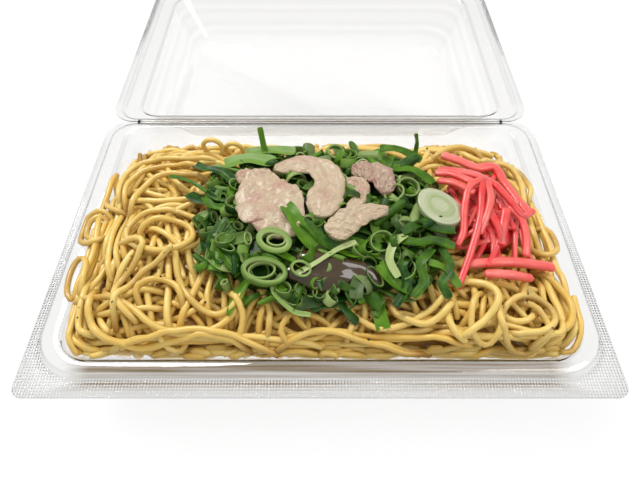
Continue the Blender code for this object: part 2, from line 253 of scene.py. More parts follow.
def addMath(nodes, links, operation, *values, clamp=False):
    # One maths node; each value is a socket or a number.
    node = nodes.new("ShaderNodeMath")
    node.operation = operation
    node.use_clamp = clamp
    for number, value in enumerate(values):
        if isinstance(value, float):
            node.inputs[number].default_value = value
        else:
            links.new(value, node.inputs[number])
    return node.outputs[0]


def addMix(nodes, links, share, first, second):
    # One colour mix node, from first to second by share; each colour is a socket or a tuple.
    node = nodes.new("ShaderNodeMix")
    node.data_type = "RGBA"
    links.new(share, node.inputs["Factor"])
    for socket, color in (("A", first), ("B", second)):
        if isinstance(color, tuple):
            node.inputs[socket].default_value = color
        else:
            links.new(color, node.inputs[socket])
    return node.outputs["Result"]


def addNoise(nodes, links, vector, scale, detail=2.0):
    # One noise node; its scale is a socket or a number.
    node = nodes.new("ShaderNodeTexNoise")
    node.inputs["Detail"].default_value = detail
    if isinstance(scale, float):
        node.inputs["Scale"].default_value = scale
    else:
        links.new(scale, node.inputs["Scale"])
    links.new(vector, node.inputs["Vector"])
    return node.outputs["Fac"]


def addBump(nodes, links, shader, height, strength, distance):
    # A height socket felt as bumps in the shader's normal.
    node = nodes.new("ShaderNodeBump")
    setSockets(node, {"Strength": strength, "Distance": distance})
    links.new(height, node.inputs["Height"])
    links.new(node.outputs["Normal"], shader.inputs["Normal"])


def makeMottleGroup():
    # Base colour: the noise's distance from its middle, times the patch share, plus the piece's own value,
    # goes from the light tint to the dark one; the second look value then brings in the shade and tone tint:
    # painted shade on the noodles, a paler tone of their own on the greens and ginger, a darker one on the
    # pork.
    group = bpy.data.node_groups.new("mottle", "ShaderNodeTree")
    for socket in ("Light tint", "Dark tint", "Deep tint"):
        group.interface.new_socket(socket, in_out="INPUT", socket_type="NodeSocketColor")
    for socket in ("Piece value", "Depth", "Patch scale", "Patch share"):
        group.interface.new_socket(socket, in_out="INPUT", socket_type="NodeSocketFloat")
    group.interface.new_socket("Color", in_out="OUTPUT", socket_type="NodeSocketColor")
    nodes, links = group.nodes, group.links
    given = nodes.new("NodeGroupInput").outputs
    spot = nodes.new("ShaderNodeTexCoord").outputs["Object"]
    noise = addNoise(nodes, links, spot, given["Patch scale"], 3.0)
    drift = addMath(nodes, links, "SUBTRACT", noise, 0.5)
    share = addMath(nodes, links, "MULTIPLY_ADD", drift, given["Patch share"], given["Piece value"],
                    clamp=True)
    tint = addMix(nodes, links, share, given["Light tint"], given["Dark tint"])
    color = addMix(nodes, links, given["Depth"], tint, given["Deep tint"])
    links.new(color, nodes.new("NodeGroupOutput").inputs["Color"])
    return group


mottle = makeMottleGroup()


def foodMaterial(name, light, dark, deep, patchScale=220.0, patchShare=1.2, roughness=0.35, coat=0.0,
                 subsurface=0.0, scatter=(1.0, 0.5, 0.25), bumpScale=900.0, bump=0.15, shine=0.5):
    # A moist food surface: mottled by the look attribute's first value, with a fine bump. Its second value
    # brings in the shade and tone tint, which on the noodles is painted shade.
    material, shader = newMaterial(name)
    nodes, links = material.node_tree.nodes, material.node_tree.links
    looks = lookNodes(nodes, links)
    tone = nodes.new("ShaderNodeGroup")
    tone.node_tree = mottle
    setSockets(tone, {"Light tint": (*light, 1.0), "Dark tint": (*dark, 1.0), "Deep tint": (*deep, 1.0),
                      "Patch scale": patchScale, "Patch share": patchShare})
    links.new(looks["Red"], tone.inputs["Piece value"])
    links.new(looks["Green"], tone.inputs["Depth"])
    links.new(tone.outputs["Color"], shader.inputs["Base Color"])
    spot = nodes.new("ShaderNodeTexCoord").outputs["Object"]
    addBump(nodes, links, shader, addNoise(nodes, links, spot, bumpScale, 4.0), bump, 0.0006)
    setSockets(shader, {"Roughness": roughness, "Coat Weight": coat, "Coat Roughness": 0.15,
                        "Specular IOR Level": shine})
    if subsurface:
        setSockets(shader, {"Subsurface Weight": subsurface, "Subsurface Radius": scatter,
                            "Subsurface Scale": 0.0015})
    return material


trayLow, trayHigh = (np.array(corner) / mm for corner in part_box("tray_shell"))
foldLine = frame["joints"][0]["pos_m"][1] / mm
pack = {
    "width": trayHigh[0] - trayLow[0],
    "front": trayLow[1],
    "rim": 28.0,              # height of the flanges
    "sheet": 0.4,
    "bead": 2.0,              # the tray's bead stands this far over its flange
    "nest": 0.4,              # room that the lid's bead leaves over the tray's
    "wallRun": 12.0,          # how far the wall leans inwards
    "footRun": 1.4,
    "wallFoot": 2.0,          # height at which the wall bends into the floor
    "floor": 0.6,
    "foldGap": 0.2,
    "foldHalf": 87.0,
    "foldReach": 1.3,
    "film": 0.12,
    "cornerSteps": 14,
    "flutes": 4,
    "fluteDepth": -0.3,
    "embossEnd": 22.0,        # the flange's emboss fades out towards here
    "embossFade": 50.0,
    "lineWidth": 0.35,
    "fluteLine": 0.4,         # strength of the painted shade lines along the flutes, and of the brown tint at the fold
    "foldTint": 0.35,
    "frontReflection": 17.0,        # the brown tint, painted as the noodles' reflection, reaches this far back from the front
    "reflectionEnd": 16.0,          # and stops this far from each end
    "diamonds": 4400.0,       # waves of emboss in a metre, times 2 pi
    "plastic": (0.955, 0.95, 0.935, 1.0),
    # Brown tint painted into the clear sheet: the noodles' reflection in the front bead, and the same tint at
    # the fold.
    "noodleReflectionTint": (0.23, 0.16, 0.085, 1.0),
    # Painted shade on the emboss's dots.
    "embossDotShade": (0.87, 0.87, 0.87, 1.0),
    # Painted shade for the darker look of the clear sheet's bends.
    "bendLineShade": (0.74, 0.74, 0.73, 1.0),
    "seenThrough": (0.965, 0.965, 0.965, 1.0),
}


def outline(row, sidePoints, endPoints):
    # Rounded rectangle, anticlockwise from the front right corner. row is front, side and back inset,
    # height, front and back corner radius; each side is cut into equal parts and each corner into arcs.
    front, side, back, height, frontRadius, backRadius = row
    right = pack["width"] / 2 - side
    low, high = pack["front"] + front, foldLine - pack["foldGap"] - back
    corners = ((right - frontRadius, low + frontRadius, frontRadius, -90.0),
               (right - backRadius, high - backRadius, backRadius, 0.0),
               (backRadius - right, high - backRadius, backRadius, 90.0),
               (frontRadius - right, low + frontRadius, frontRadius, 180.0))
    arcs = []
    for x, y, radius, start in corners:
        turn = np.radians(start + np.linspace(0.0, 90.0, pack["cornerSteps"] + 1))
        arcs.append(np.c_[x + radius * np.cos(turn), y + radius * np.sin(turn)])
    parts = []
    for number, count in enumerate((endPoints, sidePoints, endPoints, sidePoints)):
        here, there = arcs[number][-1], arcs[(number + 1) % 4][0]
        share = np.linspace(0.0, 1.0, count + 1)[1:-1, None]
        parts += [arcs[number], here + (there - here) * share]
    ring = np.concatenate(parts)
    return np.c_[ring, np.full(len(ring), height)]


def profileRows(rise, clearance):
    # The upper face from the pack's edge to the middle of the floor, as rows that outline() reads:
    # the edge, the bead's foot, its crest from outside to inside, the mouth, the wall's foot and the floor.
    step = pack["rim"] + rise
    mouth = step - 0.8 if rise > 0 else step
    insets = np.array(((0.0, 0.0, 0.0), (6.5, 3.3, 2.5), (7.3, 4.1, 3.3), (11.5, 10.4, 5.9),
                       (12.3, 11.2, 6.7)))
    insets[1:3] -= clearance
    insets[3:] += clearance
    insets = np.vstack([insets, insets[4] + pack["wallRun"], insets[4] + pack["wallRun"] + pack["footRun"]])
    heights = (pack["rim"], pack["rim"], step, step, mouth, pack["wallFoot"], pack["floor"])
    frontRadii = (4.0, 17.0, 16.5, 12.0, 11.5, 15.0, 14.0)
    backRadii = (11.0, 10.0, 9.5, 8.5, 8.0, 13.0, 12.0)
    return np.c_[insets, heights, frontRadii, backRadii]


def roundedRows(rows, reach=0.9, steps=3, wallSteps=9):
    # Every bend of the profile becomes a short curve, and the wall gets extra rows for its flutes.
    out = [rows[0]]
    for before, here, after in zip(rows[:-2], rows[1:-1], rows[2:]):
        into = np.linalg.norm((here - before)[[1, 3]])
        away = np.linalg.norm((after - here)[[1, 3]])
        start = here + (before - here) * min(reach / into, 0.45)
        end = here + (after - here) * min(reach / away, 0.45)
        for share in np.linspace(0.0, 1.0, steps):
            out.append(start * (1 - share) ** 2 + 2 * here * share * (1 - share) + end * share ** 2)
    out.append(rows[-1])
    wall = max(range(len(out) - 1), key=lambda k: abs(out[k + 1][3] - out[k][3]))
    shares = np.linspace(0, 1, wallSteps + 2)[1:-1]
    extra = [out[wall] + (out[wall + 1] - out[wall]) * share for share in shares]
    return np.array(out[:wall + 1] + extra + out[wall + 1:])


def gridNormals(points):
    # Normal of a grid surface whose rings close, from each point's neighbours along u and v.
    alongV = (np.roll(points, -1, axis=1) - np.roll(points, 1, axis=1)) / 2
    return unit(np.cross(np.gradient(points, axis=0), alongV))


def fluteShape(share):
    # Height of the wall's flutes at a share of the way down it, 0 to 1.
    return np.sin(pi * pack["flutes"] * share) ** 2


def shellSurface(rise, clearance):
    # The upper face as a grid; down the wall run shallow lengthwise flutes, pressed outwards.
    rows = roundedRows(profileRows(rise, clearance))
    grid = np.stack([outline(row, 150, 90) for row in rows])
    heights = rows[:, 3]
    top, foot = heights[heights > pack["rim"] - 3.5].min() - 1.5, pack["wallFoot"] + 2.0
    depth = fluteShape(np.clip((top - heights) / (top - foot), 0.0, 1.0)) * pack["fluteDepth"]
    return grid + gridNormals(grid) * depth[:, None, None], rows


def shellLooks(upper, rows, rise, clearance):
    # Three looks for each point of the sheet. First the emboss and its painted shade dots, on the flange and
    # fading towards the back. Then a brown tint, painted reflection of the noodles in the front bead, and the
    # same tint at the fold, away from the corners. Last the painted shade lines along the bends and flutes,
    # bell-shaped across each bend.
    flange = (rows[:, 3] > pack["rim"] - 0.02) & (rows[:, 1] < 3.4 - clearance * 0.9)
    fading = np.clip((pack["embossEnd"] - upper[0, :, 1]) / pack["embossFade"], 0.0, 1.0)
    apart = np.subtract.outer(rows[:, 1], profileRows(rise, clearance)[:5, 1])
    bends = np.exp(-(apart / pack["lineWidth"]) ** 2).max(1)
    down = np.clip((pack["rim"] - 2.0 - rows[:, 3]) / (pack["rim"] - 6.0), 0.0, 1.0)
    bends = np.maximum(bends, pack["fluteLine"] * fluteShape(down))
    # Painted shade lines along the bends, faded out towards the fold.
    line = bends[:, None] * (1.0 - 0.85 * np.clip((upper[..., 1] - foldLine + 16.0) / 6.0, 0.0, 1.0))
    # The brown tint painted for the noodles' reflection: on the front bead, and also at the fold.
    nearFront = np.clip((pack["front"] + pack["frontReflection"] - upper[..., 1]) / 3.0, 0.0, 1.0)
    onBead = (np.clip((rows[:, 0] - 1.0) / 3.0, 0.0, 1.0) * (rows[:, 0] < 14.0))[:, None] * (rise > 0)
    nearFold = np.clip((upper[..., 1] - foldLine + 9.0) / 4.0, 0.0, 1.0) * pack["foldTint"]
    middle = np.clip((pack["width"] / 2 - pack["reflectionEnd"] - np.abs(upper[..., 0])) / 8.0, 0.0, 1.0)
    haze = np.maximum(nearFront * onBead, nearFold) * middle
    return np.stack([flange[:, None] * fading[None, :], haze, line], axis=-1)


def makeShell(name, node, body, rise, clearance, mirrored, material):
    # A thin pressed sheet: the upper face, a rounded rim, and the lower face one sheet's thickness away.
    # The lid is the same sheet with its bead turned down, mirrored over the fold.
    upper, rows = shellSurface(rise, clearance)
    away = gridNormals(upper)
    away *= np.sign(away[0, 0, 2]) * -1.0
    looks = shellLooks(upper, rows, rise, clearance)
    points = np.concatenate([upper[::-1], upper + away * pack["sheet"]])
    looks = np.concatenate([looks[::-1], looks])
    if mirrored:
        points[..., 1] = 2 * foldLine - points[..., 1]
    else:
        points, looks = points[:, ::-1], looks[:, ::-1]
    pile = Pile()
    pile.grid(points, looks, wrapV=True, capEnds=True)
    shell = pile.finish(name, material)
    shell.data.set_sharp_from_angle(angle=radians(50.0))
    seat(shell, node, body)


def mapped(nodes, links, vector, scale, turn=0.0):
    # A vector socket scaled on each axis and turned about z, in degrees.
    node = nodes.new("ShaderNodeMapping")
    setSockets(node, {"Rotation": (0.0, 0.0, radians(turn)), "Scale": scale})
    links.new(vector, node.inputs["Vector"])
    return node.outputs["Vector"]


def clearPlasticMaterial():
    # Clear sheet: glass that lets lamps through. Its look values are the share of fine diamond emboss, whose
    # dots get painted shade, of a brown tint painted as the noodles' reflection in the bead, and of painted
    # shade lines along the bends.
    material, shader = newMaterial("clearPlastic")
    setSockets(shader, {"Roughness": 0.03, "IOR": 1.5, "Transmission Weight": 1.0})
    nodes, links = material.node_tree.nodes, material.node_tree.links
    looks = lookNodes(nodes, links)
    spot = nodes.new("ShaderNodeTexCoord").outputs["Object"]
    apart = nodes.new("ShaderNodeSeparateXYZ")
    fine = mapped(nodes, links, spot, (pack["diamonds"], pack["diamonds"], 1.0), 45.0)
    links.new(fine, apart.inputs["Vector"])
    waves = [addMath(nodes, links, "SINE", apart.outputs[axis]) for axis in ("X", "Y")]
    diamond = addMath(nodes, links, "MULTIPLY", *waves)
    masked = addMath(nodes, links, "MULTIPLY", diamond, looks["Red"])
    ripple = addNoise(nodes, links, spot, 55.0)
    height = addMath(nodes, links, "MULTIPLY_ADD", ripple, 1.3, masked)
    addBump(nodes, links, shader, height, 0.6, 0.00025)
    # Streaks break up the painted reflection tint.
    streak = addNoise(nodes, links, mapped(nodes, links, spot, (22.0, 900.0, 900.0)), 1.0)
    patchy = addMath(nodes, links, "MULTIPLY_ADD", streak, 3.2, -1.1, clamp=True)
    thickness = addMath(nodes, links, "MULTIPLY_ADD", patchy, 0.5, 0.5)
    hazeShare = addMath(nodes, links, "MULTIPLY", looks["Green"], thickness)
    # Painted shade on the emboss's dots.
    dotShare = addMath(nodes, links, "MULTIPLY", masked, 1.6, clamp=True)
    # Painted shade along the bends and flutes.
    lineShare = addMath(nodes, links, "MULTIPLY", looks["Blue"], 0.75)
    color = addMix(nodes, links, hazeShare, pack["plastic"], pack["noodleReflectionTint"])
    color = addMix(nodes, links, dotShare, color, pack["embossDotShade"])
    color = addMix(nodes, links, lineShare, color, pack["bendLineShade"])
    links.new(color, shader.inputs["Base Color"])
    rays = nodes.new("ShaderNodeLightPath")
    through = nodes.new("ShaderNodeBsdfTransparent")
    through.inputs["Color"].default_value = pack["seenThrough"]
    mix = nodes.new("ShaderNodeMixShader")
    links.new(rays.outputs["Is Shadow Ray"], mix.inputs["Fac"])
    links.new(shader.outputs["BSDF"], mix.inputs[1])
    links.new(through.outputs["BSDF"], mix.inputs[2])
    links.new(mix.outputs["Shader"], nodes["Material Output"].inputs["Surface"])
    return material


clearPlastic = clearPlasticMaterial()
makeShell("trayShell", "tray_shell", "tray", pack["bead"], 0.0, False, clearPlastic)
makeShell("lidShell", "lid_shell", "lid", -pack["bead"] - pack["nest"], pack["nest"], True, clearPlastic)


def makeFoldStrip():
    # The thin web along the fold: a shallow trough of film between the two flanges.
    columns, rows = 60, 9
    x = np.linspace(-pack["foldHalf"], pack["foldHalf"], columns)
    across = np.linspace(-1.0, 1.0, rows)
    dip = 0.25 * (1.0 - across ** 2)
    upper = np.stack([np.broadcast_to(x[:, None], (columns, rows)),
                      np.broadcast_to(foldLine + pack["foldReach"] * across, (columns, rows)),
                      np.broadcast_to(pack["rim"] - pack["film"] - dip, (columns, rows))], axis=-1)
    ring = np.concatenate([upper, upper[:, ::-1] - (0.0, 0.0, pack["film"])], axis=1)
    pile = Pile()
    pile.grid(ring[::-1], wrapV=True, capEnds=True)
    strip = pile.finish("foldStrip", clearPlastic)
    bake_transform(strip)


makeFoldStrip()
print("pack done")


def wander(start, heading, curl, step, push, gain=0.5):
    # Strand plans, all at once: each heading turns by its curl, and away from an edge in proportion to how
    # far it has passed the edge's margin, by 0.3 of that at least when it heads straight out.
    place, angle = start.copy(), heading.copy()
    plans = np.empty((len(start), curl.shape[1], 2))
    for number in range(curl.shape[1]):
        plans[:, number] = place
        pushed = push(place)
        turn = np.cos(angle) * pushed[:, 1] - np.sin(angle) * pushed[:, 0]
        facing = np.cos(angle) * pushed[:, 0] + np.sin(angle) * pushed[:, 1]
        size = np.hypot(pushed[:, 0], pushed[:, 1])
        least = 0.3 * size
        turn = np.where((facing < 0) & (np.abs(turn) < least), least * np.sign(turn + 1e-6), turn)
        angle = angle + (curl[:, number] + gain * np.clip(turn, -1.0, 1.0)) * step
        place = place + step * np.stack([np.cos(angle), np.sin(angle)], axis=1)
    return plans


class Bed:
    # A height map that strands are laid on one by one, each resting on what lies under it.
    def __init__(self, low, size, cell, base, wrapU=False):
        self.low, self.cell, self.wrapU = np.array(low, float), cell, wrapU
        self.shape = tuple(np.ceil(np.array(size) / cell).astype(int) + (0 if wrapU else 1, 1))
        x = self.low[0] + np.arange(self.shape[0])[:, None] * cell
        y = self.low[1] + np.arange(self.shape[1])[None, :] * cell
        self.height = np.array(np.broadcast_to(base(x, y), self.shape), float)

    def cells(self, plan, radius):
        # The cells within a radius of each point of a plan, and how far a ball there rises over them.
        reach = int(np.ceil(radius / self.cell))
        dx, dy = np.meshgrid(np.arange(-reach, reach + 1), np.arange(-reach, reach + 1), indexing="ij")
        apart = np.hypot(dx, dy) * self.cell
        near = apart < radius
        dx, dy, apart = dx[near], dy[near], apart[near]
        spot = np.round((plan - self.low) / self.cell).astype(int)
        i = spot[:, :1] + dx
        i = i % self.shape[0] if self.wrapU else np.clip(i, 0, self.shape[0] - 1)
        return i, np.clip(spot[:, 1:] + dy, 0, self.shape[1] - 1), np.sqrt(radius ** 2 - apart ** 2)

    def rest(self, plan, radius, stiffness):
        # Height of the strand's middle: over everything beneath it, then drawn smooth like soft rope.
        i, j, rise = self.cells(plan, radius)
        need = (self.height[i, j] + rise - noodle["sink"]).max(1)
        line = need
        for again in range(3):
            line = np.maximum(smoothRow(line, stiffness), need)
        return smoothRow(line, max(stiffness // 2, 2))

    def stamp(self, plan, line, radius):
        # A laid strand's top face joins the height map wherever it is higher.
        i, j, rise = self.cells(plan, radius)
        np.maximum.at(self.height, (i, j), line[:, None] + rise)

    def under(self, plans):
        # The bed's height below every point of many plans.
        spot = np.round((plans - self.low) / self.cell).astype(int)
        i = spot[..., 0] % self.shape[0] if self.wrapU else np.clip(spot[..., 0], 0, self.shape[0] - 1)
        return self.height[i, np.clip(spot[..., 1], 0, self.shape[1] - 1)]


def longestRun(good):
    # First and last index of the longest unbroken run of True.
    edges = np.flatnonzero(np.diff(np.concatenate([[0], good.astype(int), [0]])))
    if not len(edges):
        return 0, 0
    starts, ends = edges[::2], edges[1::2]
    best = np.argmax(ends - starts)
    return starts[best], ends[best]


noodle = {
    "radius": 1.17,
    "unevenness": 0.10,      # share of the radius that strands differ by
    "step": 0.7,             # between the points of a plan
    "keepEvery": 3,          # plan points for each ring of the mesh
    "sides": 8,
    "stiffness": 7,
    "depth": 7.4,            # of the laid strands over the hidden core
    "shade": 5.5,            # depth at which a strand takes its full painted shade
    "dive": 3.6,             # how far an end ducks under
    "diveRun": 8.0,
    "sink": 0.5,             # how far crossing strands press into each other
    "keep": 0.92,            # width left when the lid is shut
    "lidGap": 1.7,           # left under the shut lid, by moving strands at most mostShift
    "mostShift": 4.5,
    "looseEnds": 0.06,       # share of ends that don't duck
    "rounds": 16,
    "bundles": 26,
    "members": 3,
    "longest": 130.0,
    "seed": 11,
}
wallNoodle = {
    "band": 4.6,             # thickness of the layer against the wall
    "gap": 0.35,             # left between it and the wall
    "rounds": 5,
    "bundles": 16,
    "longest": 110.0,
    "curl": 0.10,
    "dive": 2.0,
}
floorNoodle = {
    "band": 3.2,
    "height": 1.05,          # of the layer's underside
    "cornerPower": 6,        # higher is squarer
    "rounds": 3,
    "bundles": 18,
    "longest": 120.0,
    "curl": 0.09,
    "dive": 2.0,
}

noodleTop = nodeTop("noodles")
greensTop = nodeTop("greens")
mouthRow = profileRows(pack["bead"], 0.0)[4]
mouthHalf = pack["width"] / 2 - mouthRow[1]
mouthFront = pack["front"] + mouthRow[0]
mouthBack = foldLine - pack["foldGap"] - mouthRow[2]
print("height maps read")


def wallDistance(x, y, height):
    # How far outside the tray's inside face a spot lies at a height: the signed distance to the rounded
    # rectangle found between the wall's top and bottom rows.
    rows = profileRows(pack["bead"], 0.0)[[5, 4]]
    front, side, back, frontRadius, backRadius = (np.interp(height, rows[:, 3], rows[:, column])
                                                  for column in (0, 1, 2, 4, 5))
    low, high = pack["front"] + front, foldLine - pack["foldGap"] - back
    radius = np.where(y < (low + high) / 2, frontRadius, backRadius)
    overX = np.abs(x) - (pack["width"] / 2 - side - radius)
    overY = np.abs(y - (low + high) / 2) - ((high - low) / 2 - radius)
    past = np.hypot(np.maximum(overX, 0.0), np.maximum(overY, 0.0))
    return past + np.minimum(np.maximum(overX, overY), 0.0) - radius


def wallHeight(x, y, margin=0.0, levels=24):
    # Height of the tray's inside face under a spot: the share of wall levels whose outline, drawn in by
    # the margin, leaves the spot outside, times the wall's height.
    low, high = profileRows(pack["bead"], 0.0)[[5, 4], 3]
    total = 0.0
    for height in np.linspace(low, high, levels):
        outside = (wallDistance(x, y, height) + margin) * levels / pack["wallRun"] + 0.5
        total = total + np.clip(outside, 0.0, 1.0)
    return low + (high - low) * total / levels


def underLid(path):
    # Strand middles drawn in to clear the closed lid, whose inside face is the tray's turned over the fold:
    # sideways, or backwards near the front edge, by as much as they pass it.
    above = path[:, 2] > pack["rim"]
    beyond = wallDistance(noodle["keep"] * path[:, 0], path[:, 1], 2 * pack["rim"] - path[:, 2])
    shift = np.clip(beyond + noodle["lidGap"], 0.0, noodle["mostShift"]) * above
    front = np.clip((mouthFront + 14.0 - path[:, 1]) / 8.0, 0.0, 1.0)
    return path + np.stack([-np.sign(path[:, 0]) * shift * (1.0 - front), shift * front, 0.0 * shift], axis=1)


def mouthPush(inset, radius=12.0, back=6.0):
    # Push away from the mouth's edge: a rounded rectangle's signed distance, and its inward direction.
    middle = np.array((0.0, (mouthFront + mouthBack - back) / 2))
    half = np.array((mouthHalf - inset, (mouthBack - back - mouthFront) / 2 - inset))

    def push(place):
        away = place - middle
        beyond = np.abs(away) - (half - radius)
        outer = np.maximum(beyond, 0.0)
        distance = np.hypot(outer[:, 0], outer[:, 1]) + np.minimum(beyond.max(1), 0.0) - radius
        corner = unit(outer * np.sign(away))
        nearest = np.where(beyond[:, :1] > beyond[:, 1:], np.array((1.0, 0.0)), np.array((0.0, 1.0)))
        inside = nearest * np.sign(away)
        outward = np.where(beyond.max(1)[:, None] > 0, corner, inside)
        return -outward * np.clip((distance + 6.0) / 6.0, 0.0, 2.5)[:, None]
    return push


def bundlePlans(rng, bed, target, bundles, members, longest, curls, push):
    # Plans for bundles of near-parallel strands: one shared curl each, and a little of their own.
    # They start where the most room is left between the bed and the target height.
    step = noodle["step"]
    steps = int(longest / step)
    count = bundles * members
    cells = np.meshgrid(*(np.arange(size) for size in bed.shape), indexing="ij")
    places = bed.low + np.stack(cells, axis=-1).reshape(-1, 2) * bed.cell
    chance = np.clip(target(places[:, 0], places[:, 1]) - bed.height.ravel(), 0.0, None) ** 2
    seeds = places[rng.choice(len(places), bundles, p=chance / chance.sum())]
    aim = rng.uniform(0.0, 2 * pi, bundles)
    drift = (np.arange(members) - (members - 1) / 2) * 2.35 * noodle["radius"]      # side by side
    sideways = np.stack([-np.sin(aim), np.cos(aim)], axis=1)
    start = (seeds[:, None] + sideways[:, None] * drift[None, :, None]).reshape(count, 2)
    heading = np.repeat(aim, members) + rng.normal(0.0, 0.04, count)
    shared = easyNoise(rng, bundles, steps, max(int(longest / 26), 2))
    bias = rng.uniform(-1.0, 1.0, bundles)[:, None]
    curl = np.repeat((0.55 * shared + 0.6 * bias) * curls(seeds)[:, None], members, axis=0)
    curl += easyNoise(rng, count, steps, max(int(longest / 14), 2)) * 0.022
    plans = wander(start, heading, curl, step, push)
    back = wander(start, heading + pi, -curl[:, ::-1], step, push)
    half = steps // 2
    return np.concatenate([back[:, half:0:-1], plans[:, :half]], axis=1)


def onHeap(plan, line):
    # Middles and up vector of a strand on the heap: its plan and heights, drawn in under the closed lid.
    return underLid(np.c_[plan, line]), (0.0, 0.0, 1.0)


def layStrands(rng, bed, pile, plans, target, shortest, slack, place=onHeap, dive=noodle["dive"],
               most=1000.0, least=None):
    # Strands are tried in order of how much room lies under the target along them. Each keeps its
    # longest stretch that stays below the target, and its ends duck under their neighbours.
    step, looseEnds = noodle["step"], noodle["looseEnds"]
    room = (target(plans[..., 0], plans[..., 1]) - bed.under(plans)).mean(1)
    kept = 0
    for number in np.argsort(-room):
        plan = plans[number]
        radius = noodle["radius"] * (1.0 + noodle["unevenness"] * rng.uniform(-1.0, 1.0))
        tone, pick = rng.uniform(), rng.uniform(0.0, 1.0, 3)
        line = bed.rest(plan, radius, noodle["stiffness"])
        goal = target(plan[:, 0], plan[:, 1])
        first, last = longestRun(line + radius - goal < slack)
        if (last - first) * step < shortest:
            continue
        plan, line, goal = plan[first:last], np.minimum(line[first:last], most - radius), goal[first:last]
        bed.stamp(plan, line, radius)
        run = np.arange(len(plan)) * step
        ease = np.clip(1.0 - run / noodle["diveRun"], 0.0, 1.0) ** 2 * (pick[0] > looseEnds)
        ease += np.clip(1.0 - (run[-1] - run) / noodle["diveRun"], 0.0, 1.0) ** 2 * (pick[1] > looseEnds)
        line = line - dive * ease
        if least is not None:
            line = np.maximum(line, least(plan[:, 0], plan[:, 1]))
        keep = slice(None, None, noodle["keepEvery"])
        # Painted shade: the deeper a strand lies under the heap's top, the darker its colour.
        depth = np.clip((goal - line - radius - 1.0) / noodle["shade"], 0.0, 1.0)
        look = np.stack([np.full(len(plan), tone), depth, np.full(len(plan), pick[2])], axis=1)[keep]
        path, up = place(plan[keep], line[keep])
        pile.tube(path, radius, noodle["sides"], up, look)
        kept += 1
    return kept


# The shade and tone tint here is painted shade, for strands low in the heap and for the core.
noodleMaterial = foodMaterial("noodleSurface", light=(0.83, 0.61, 0.185), dark=(0.75, 0.49, 0.105),
                              deep=(0.36, 0.175, 0.030), patchScale=150.0, patchShare=1.0,
                              roughness=0.33, coat=0.22, shine=0.38, subsurface=0.12,
                              scatter=(1.0, 0.6, 0.25), bumpScale=1500.0, bump=0.10)


def finishNoodles(pile, name):
    # Strands ride the tray, on a mesh of their own.
    strands = pile.finish(name, noodleMaterial)
    seat(strands, "noodles")
    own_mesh(strands)


def makeNoodleCore():
    # The hidden middle of the heap: rings up the inside of the wall, closed over by the lowered top.
    mouth, foot = profileRows(pack["bead"], 0.0)[[4, 6]]
    side = []
    for share, inset in ((0.0, 9.0), (0.0, 5.0), (0.25, 4.6), (0.6, 4.6), (0.85, 4.6)):
        row = foot + (mouth - foot) * share
        side.append(row + np.array((inset, inset, inset, 3.0 if share == 0 else 0.0, 0.0, 0.0)))
    rings = np.stack([outline(row, 40, 24) for row in side])
    middle = np.array((0.0, (mouthFront + mouthBack) / 2))
    upper = rings[3:]
    lowered = np.minimum(upper[..., 2], noodleTop(upper[..., 0], upper[..., 1]) - noodle["depth"] - 0.5)
    drawnIn = (upper[..., 2] - lowered) * pack["wallRun"] / 24.0      # the wall's lean over its height
    upper[..., :2] -= unit(upper[..., :2] - middle) * drawnIn[..., None]
    upper[..., 2] = lowered
    shares = np.linspace(1.0, 0.02, 40)[1:]
    over = middle + (rings[-1][None, :, :2] - middle) * shares[:, None, None]
    height = noodleTop(over[..., 0], over[..., 1]) - noodle["depth"]
    whole = np.concatenate([rings, np.concatenate([over, height[..., None]], axis=2)])
    pile = Pile()
    # Painted shade: the core is coloured most of the way to the dark shade tint, for the shade under the
    # strands.
    pile.grid(whole, (0.4, 0.85, 0.5), wrapV=True, capEnds=True)
    seat(pile.finish("noodleCore", noodleMaterial), "noodles")


def closed(ring):
    # A ring with its first point again at the end.
    return np.vstack([ring, ring[:1]])


def heapTop(x, y):
    # The height strands are laid up to: the heap's outline, held up over the rim at both ends.
    ends = np.clip((np.abs(x) - 74.0) / 8.0, 0.0, 1.0) * np.clip((38.0 - y) / 8.0, 0.0, 1.0)
    return np.maximum(noodleTop(x, y), ends * 33.2)


def rimPlans(rng, count, longest, nearest, farthest):
    # Plans that follow the mouth's outline at a wandering distance inside it.
    ring = closed(outline(mouthRow, 60, 40)[:, :2])
    length = runAlong(ring)

    def read(at):
        return np.stack([np.interp(at % length[-1], length, ring[:, axis]) for axis in (0, 1)], axis=-1)

    steps = int(longest / noodle["step"])
    run = rng.uniform(0.0, length[-1], count)[:, None] + np.arange(steps) * noodle["step"]
    away = rng.uniform(nearest, farthest, count)[:, None] + easyNoise(rng, count, steps, 4) * 2.6
    ahead = unit(read(run + 4.0) - read(run - 4.0))
    back = np.where(read(run)[..., 1:] > mouthBack - 4.0, 6.0, 0.0)
    plans = read(run) + np.stack([-ahead[..., 1], ahead[..., 0]], axis=-1) * (away[..., None] + back)
    return np.stack([[smoothRow(axis, 9) for axis in plan.T] for plan in plans]).transpose(0, 2, 1)


def alongPath(corners):
    # A plan through corners at the laying step.
    rough = curveThrough(corners, 300)
    length = runAlong(rough)
    run = np.arange(0.0, length[-1], noodle["step"])
    return np.stack([np.interp(run, length, rough[:, axis]) for axis in (0, 1)], axis=1)


def oval(x, y, halfX, halfY, turn=0.0, share=1.0, start=0.0):
    # Corners round a share of an oval, turned and started in degrees.
    angle = np.radians(start) + np.linspace(0.0, 2 * pi * share, 14)
    c, s = cos(radians(turn)), sin(radians(turn))
    a, b = halfX * np.cos(angle), halfY * np.sin(angle)
    return np.stack([x + a * c - b * s, y + a * s + b * c], axis=1)


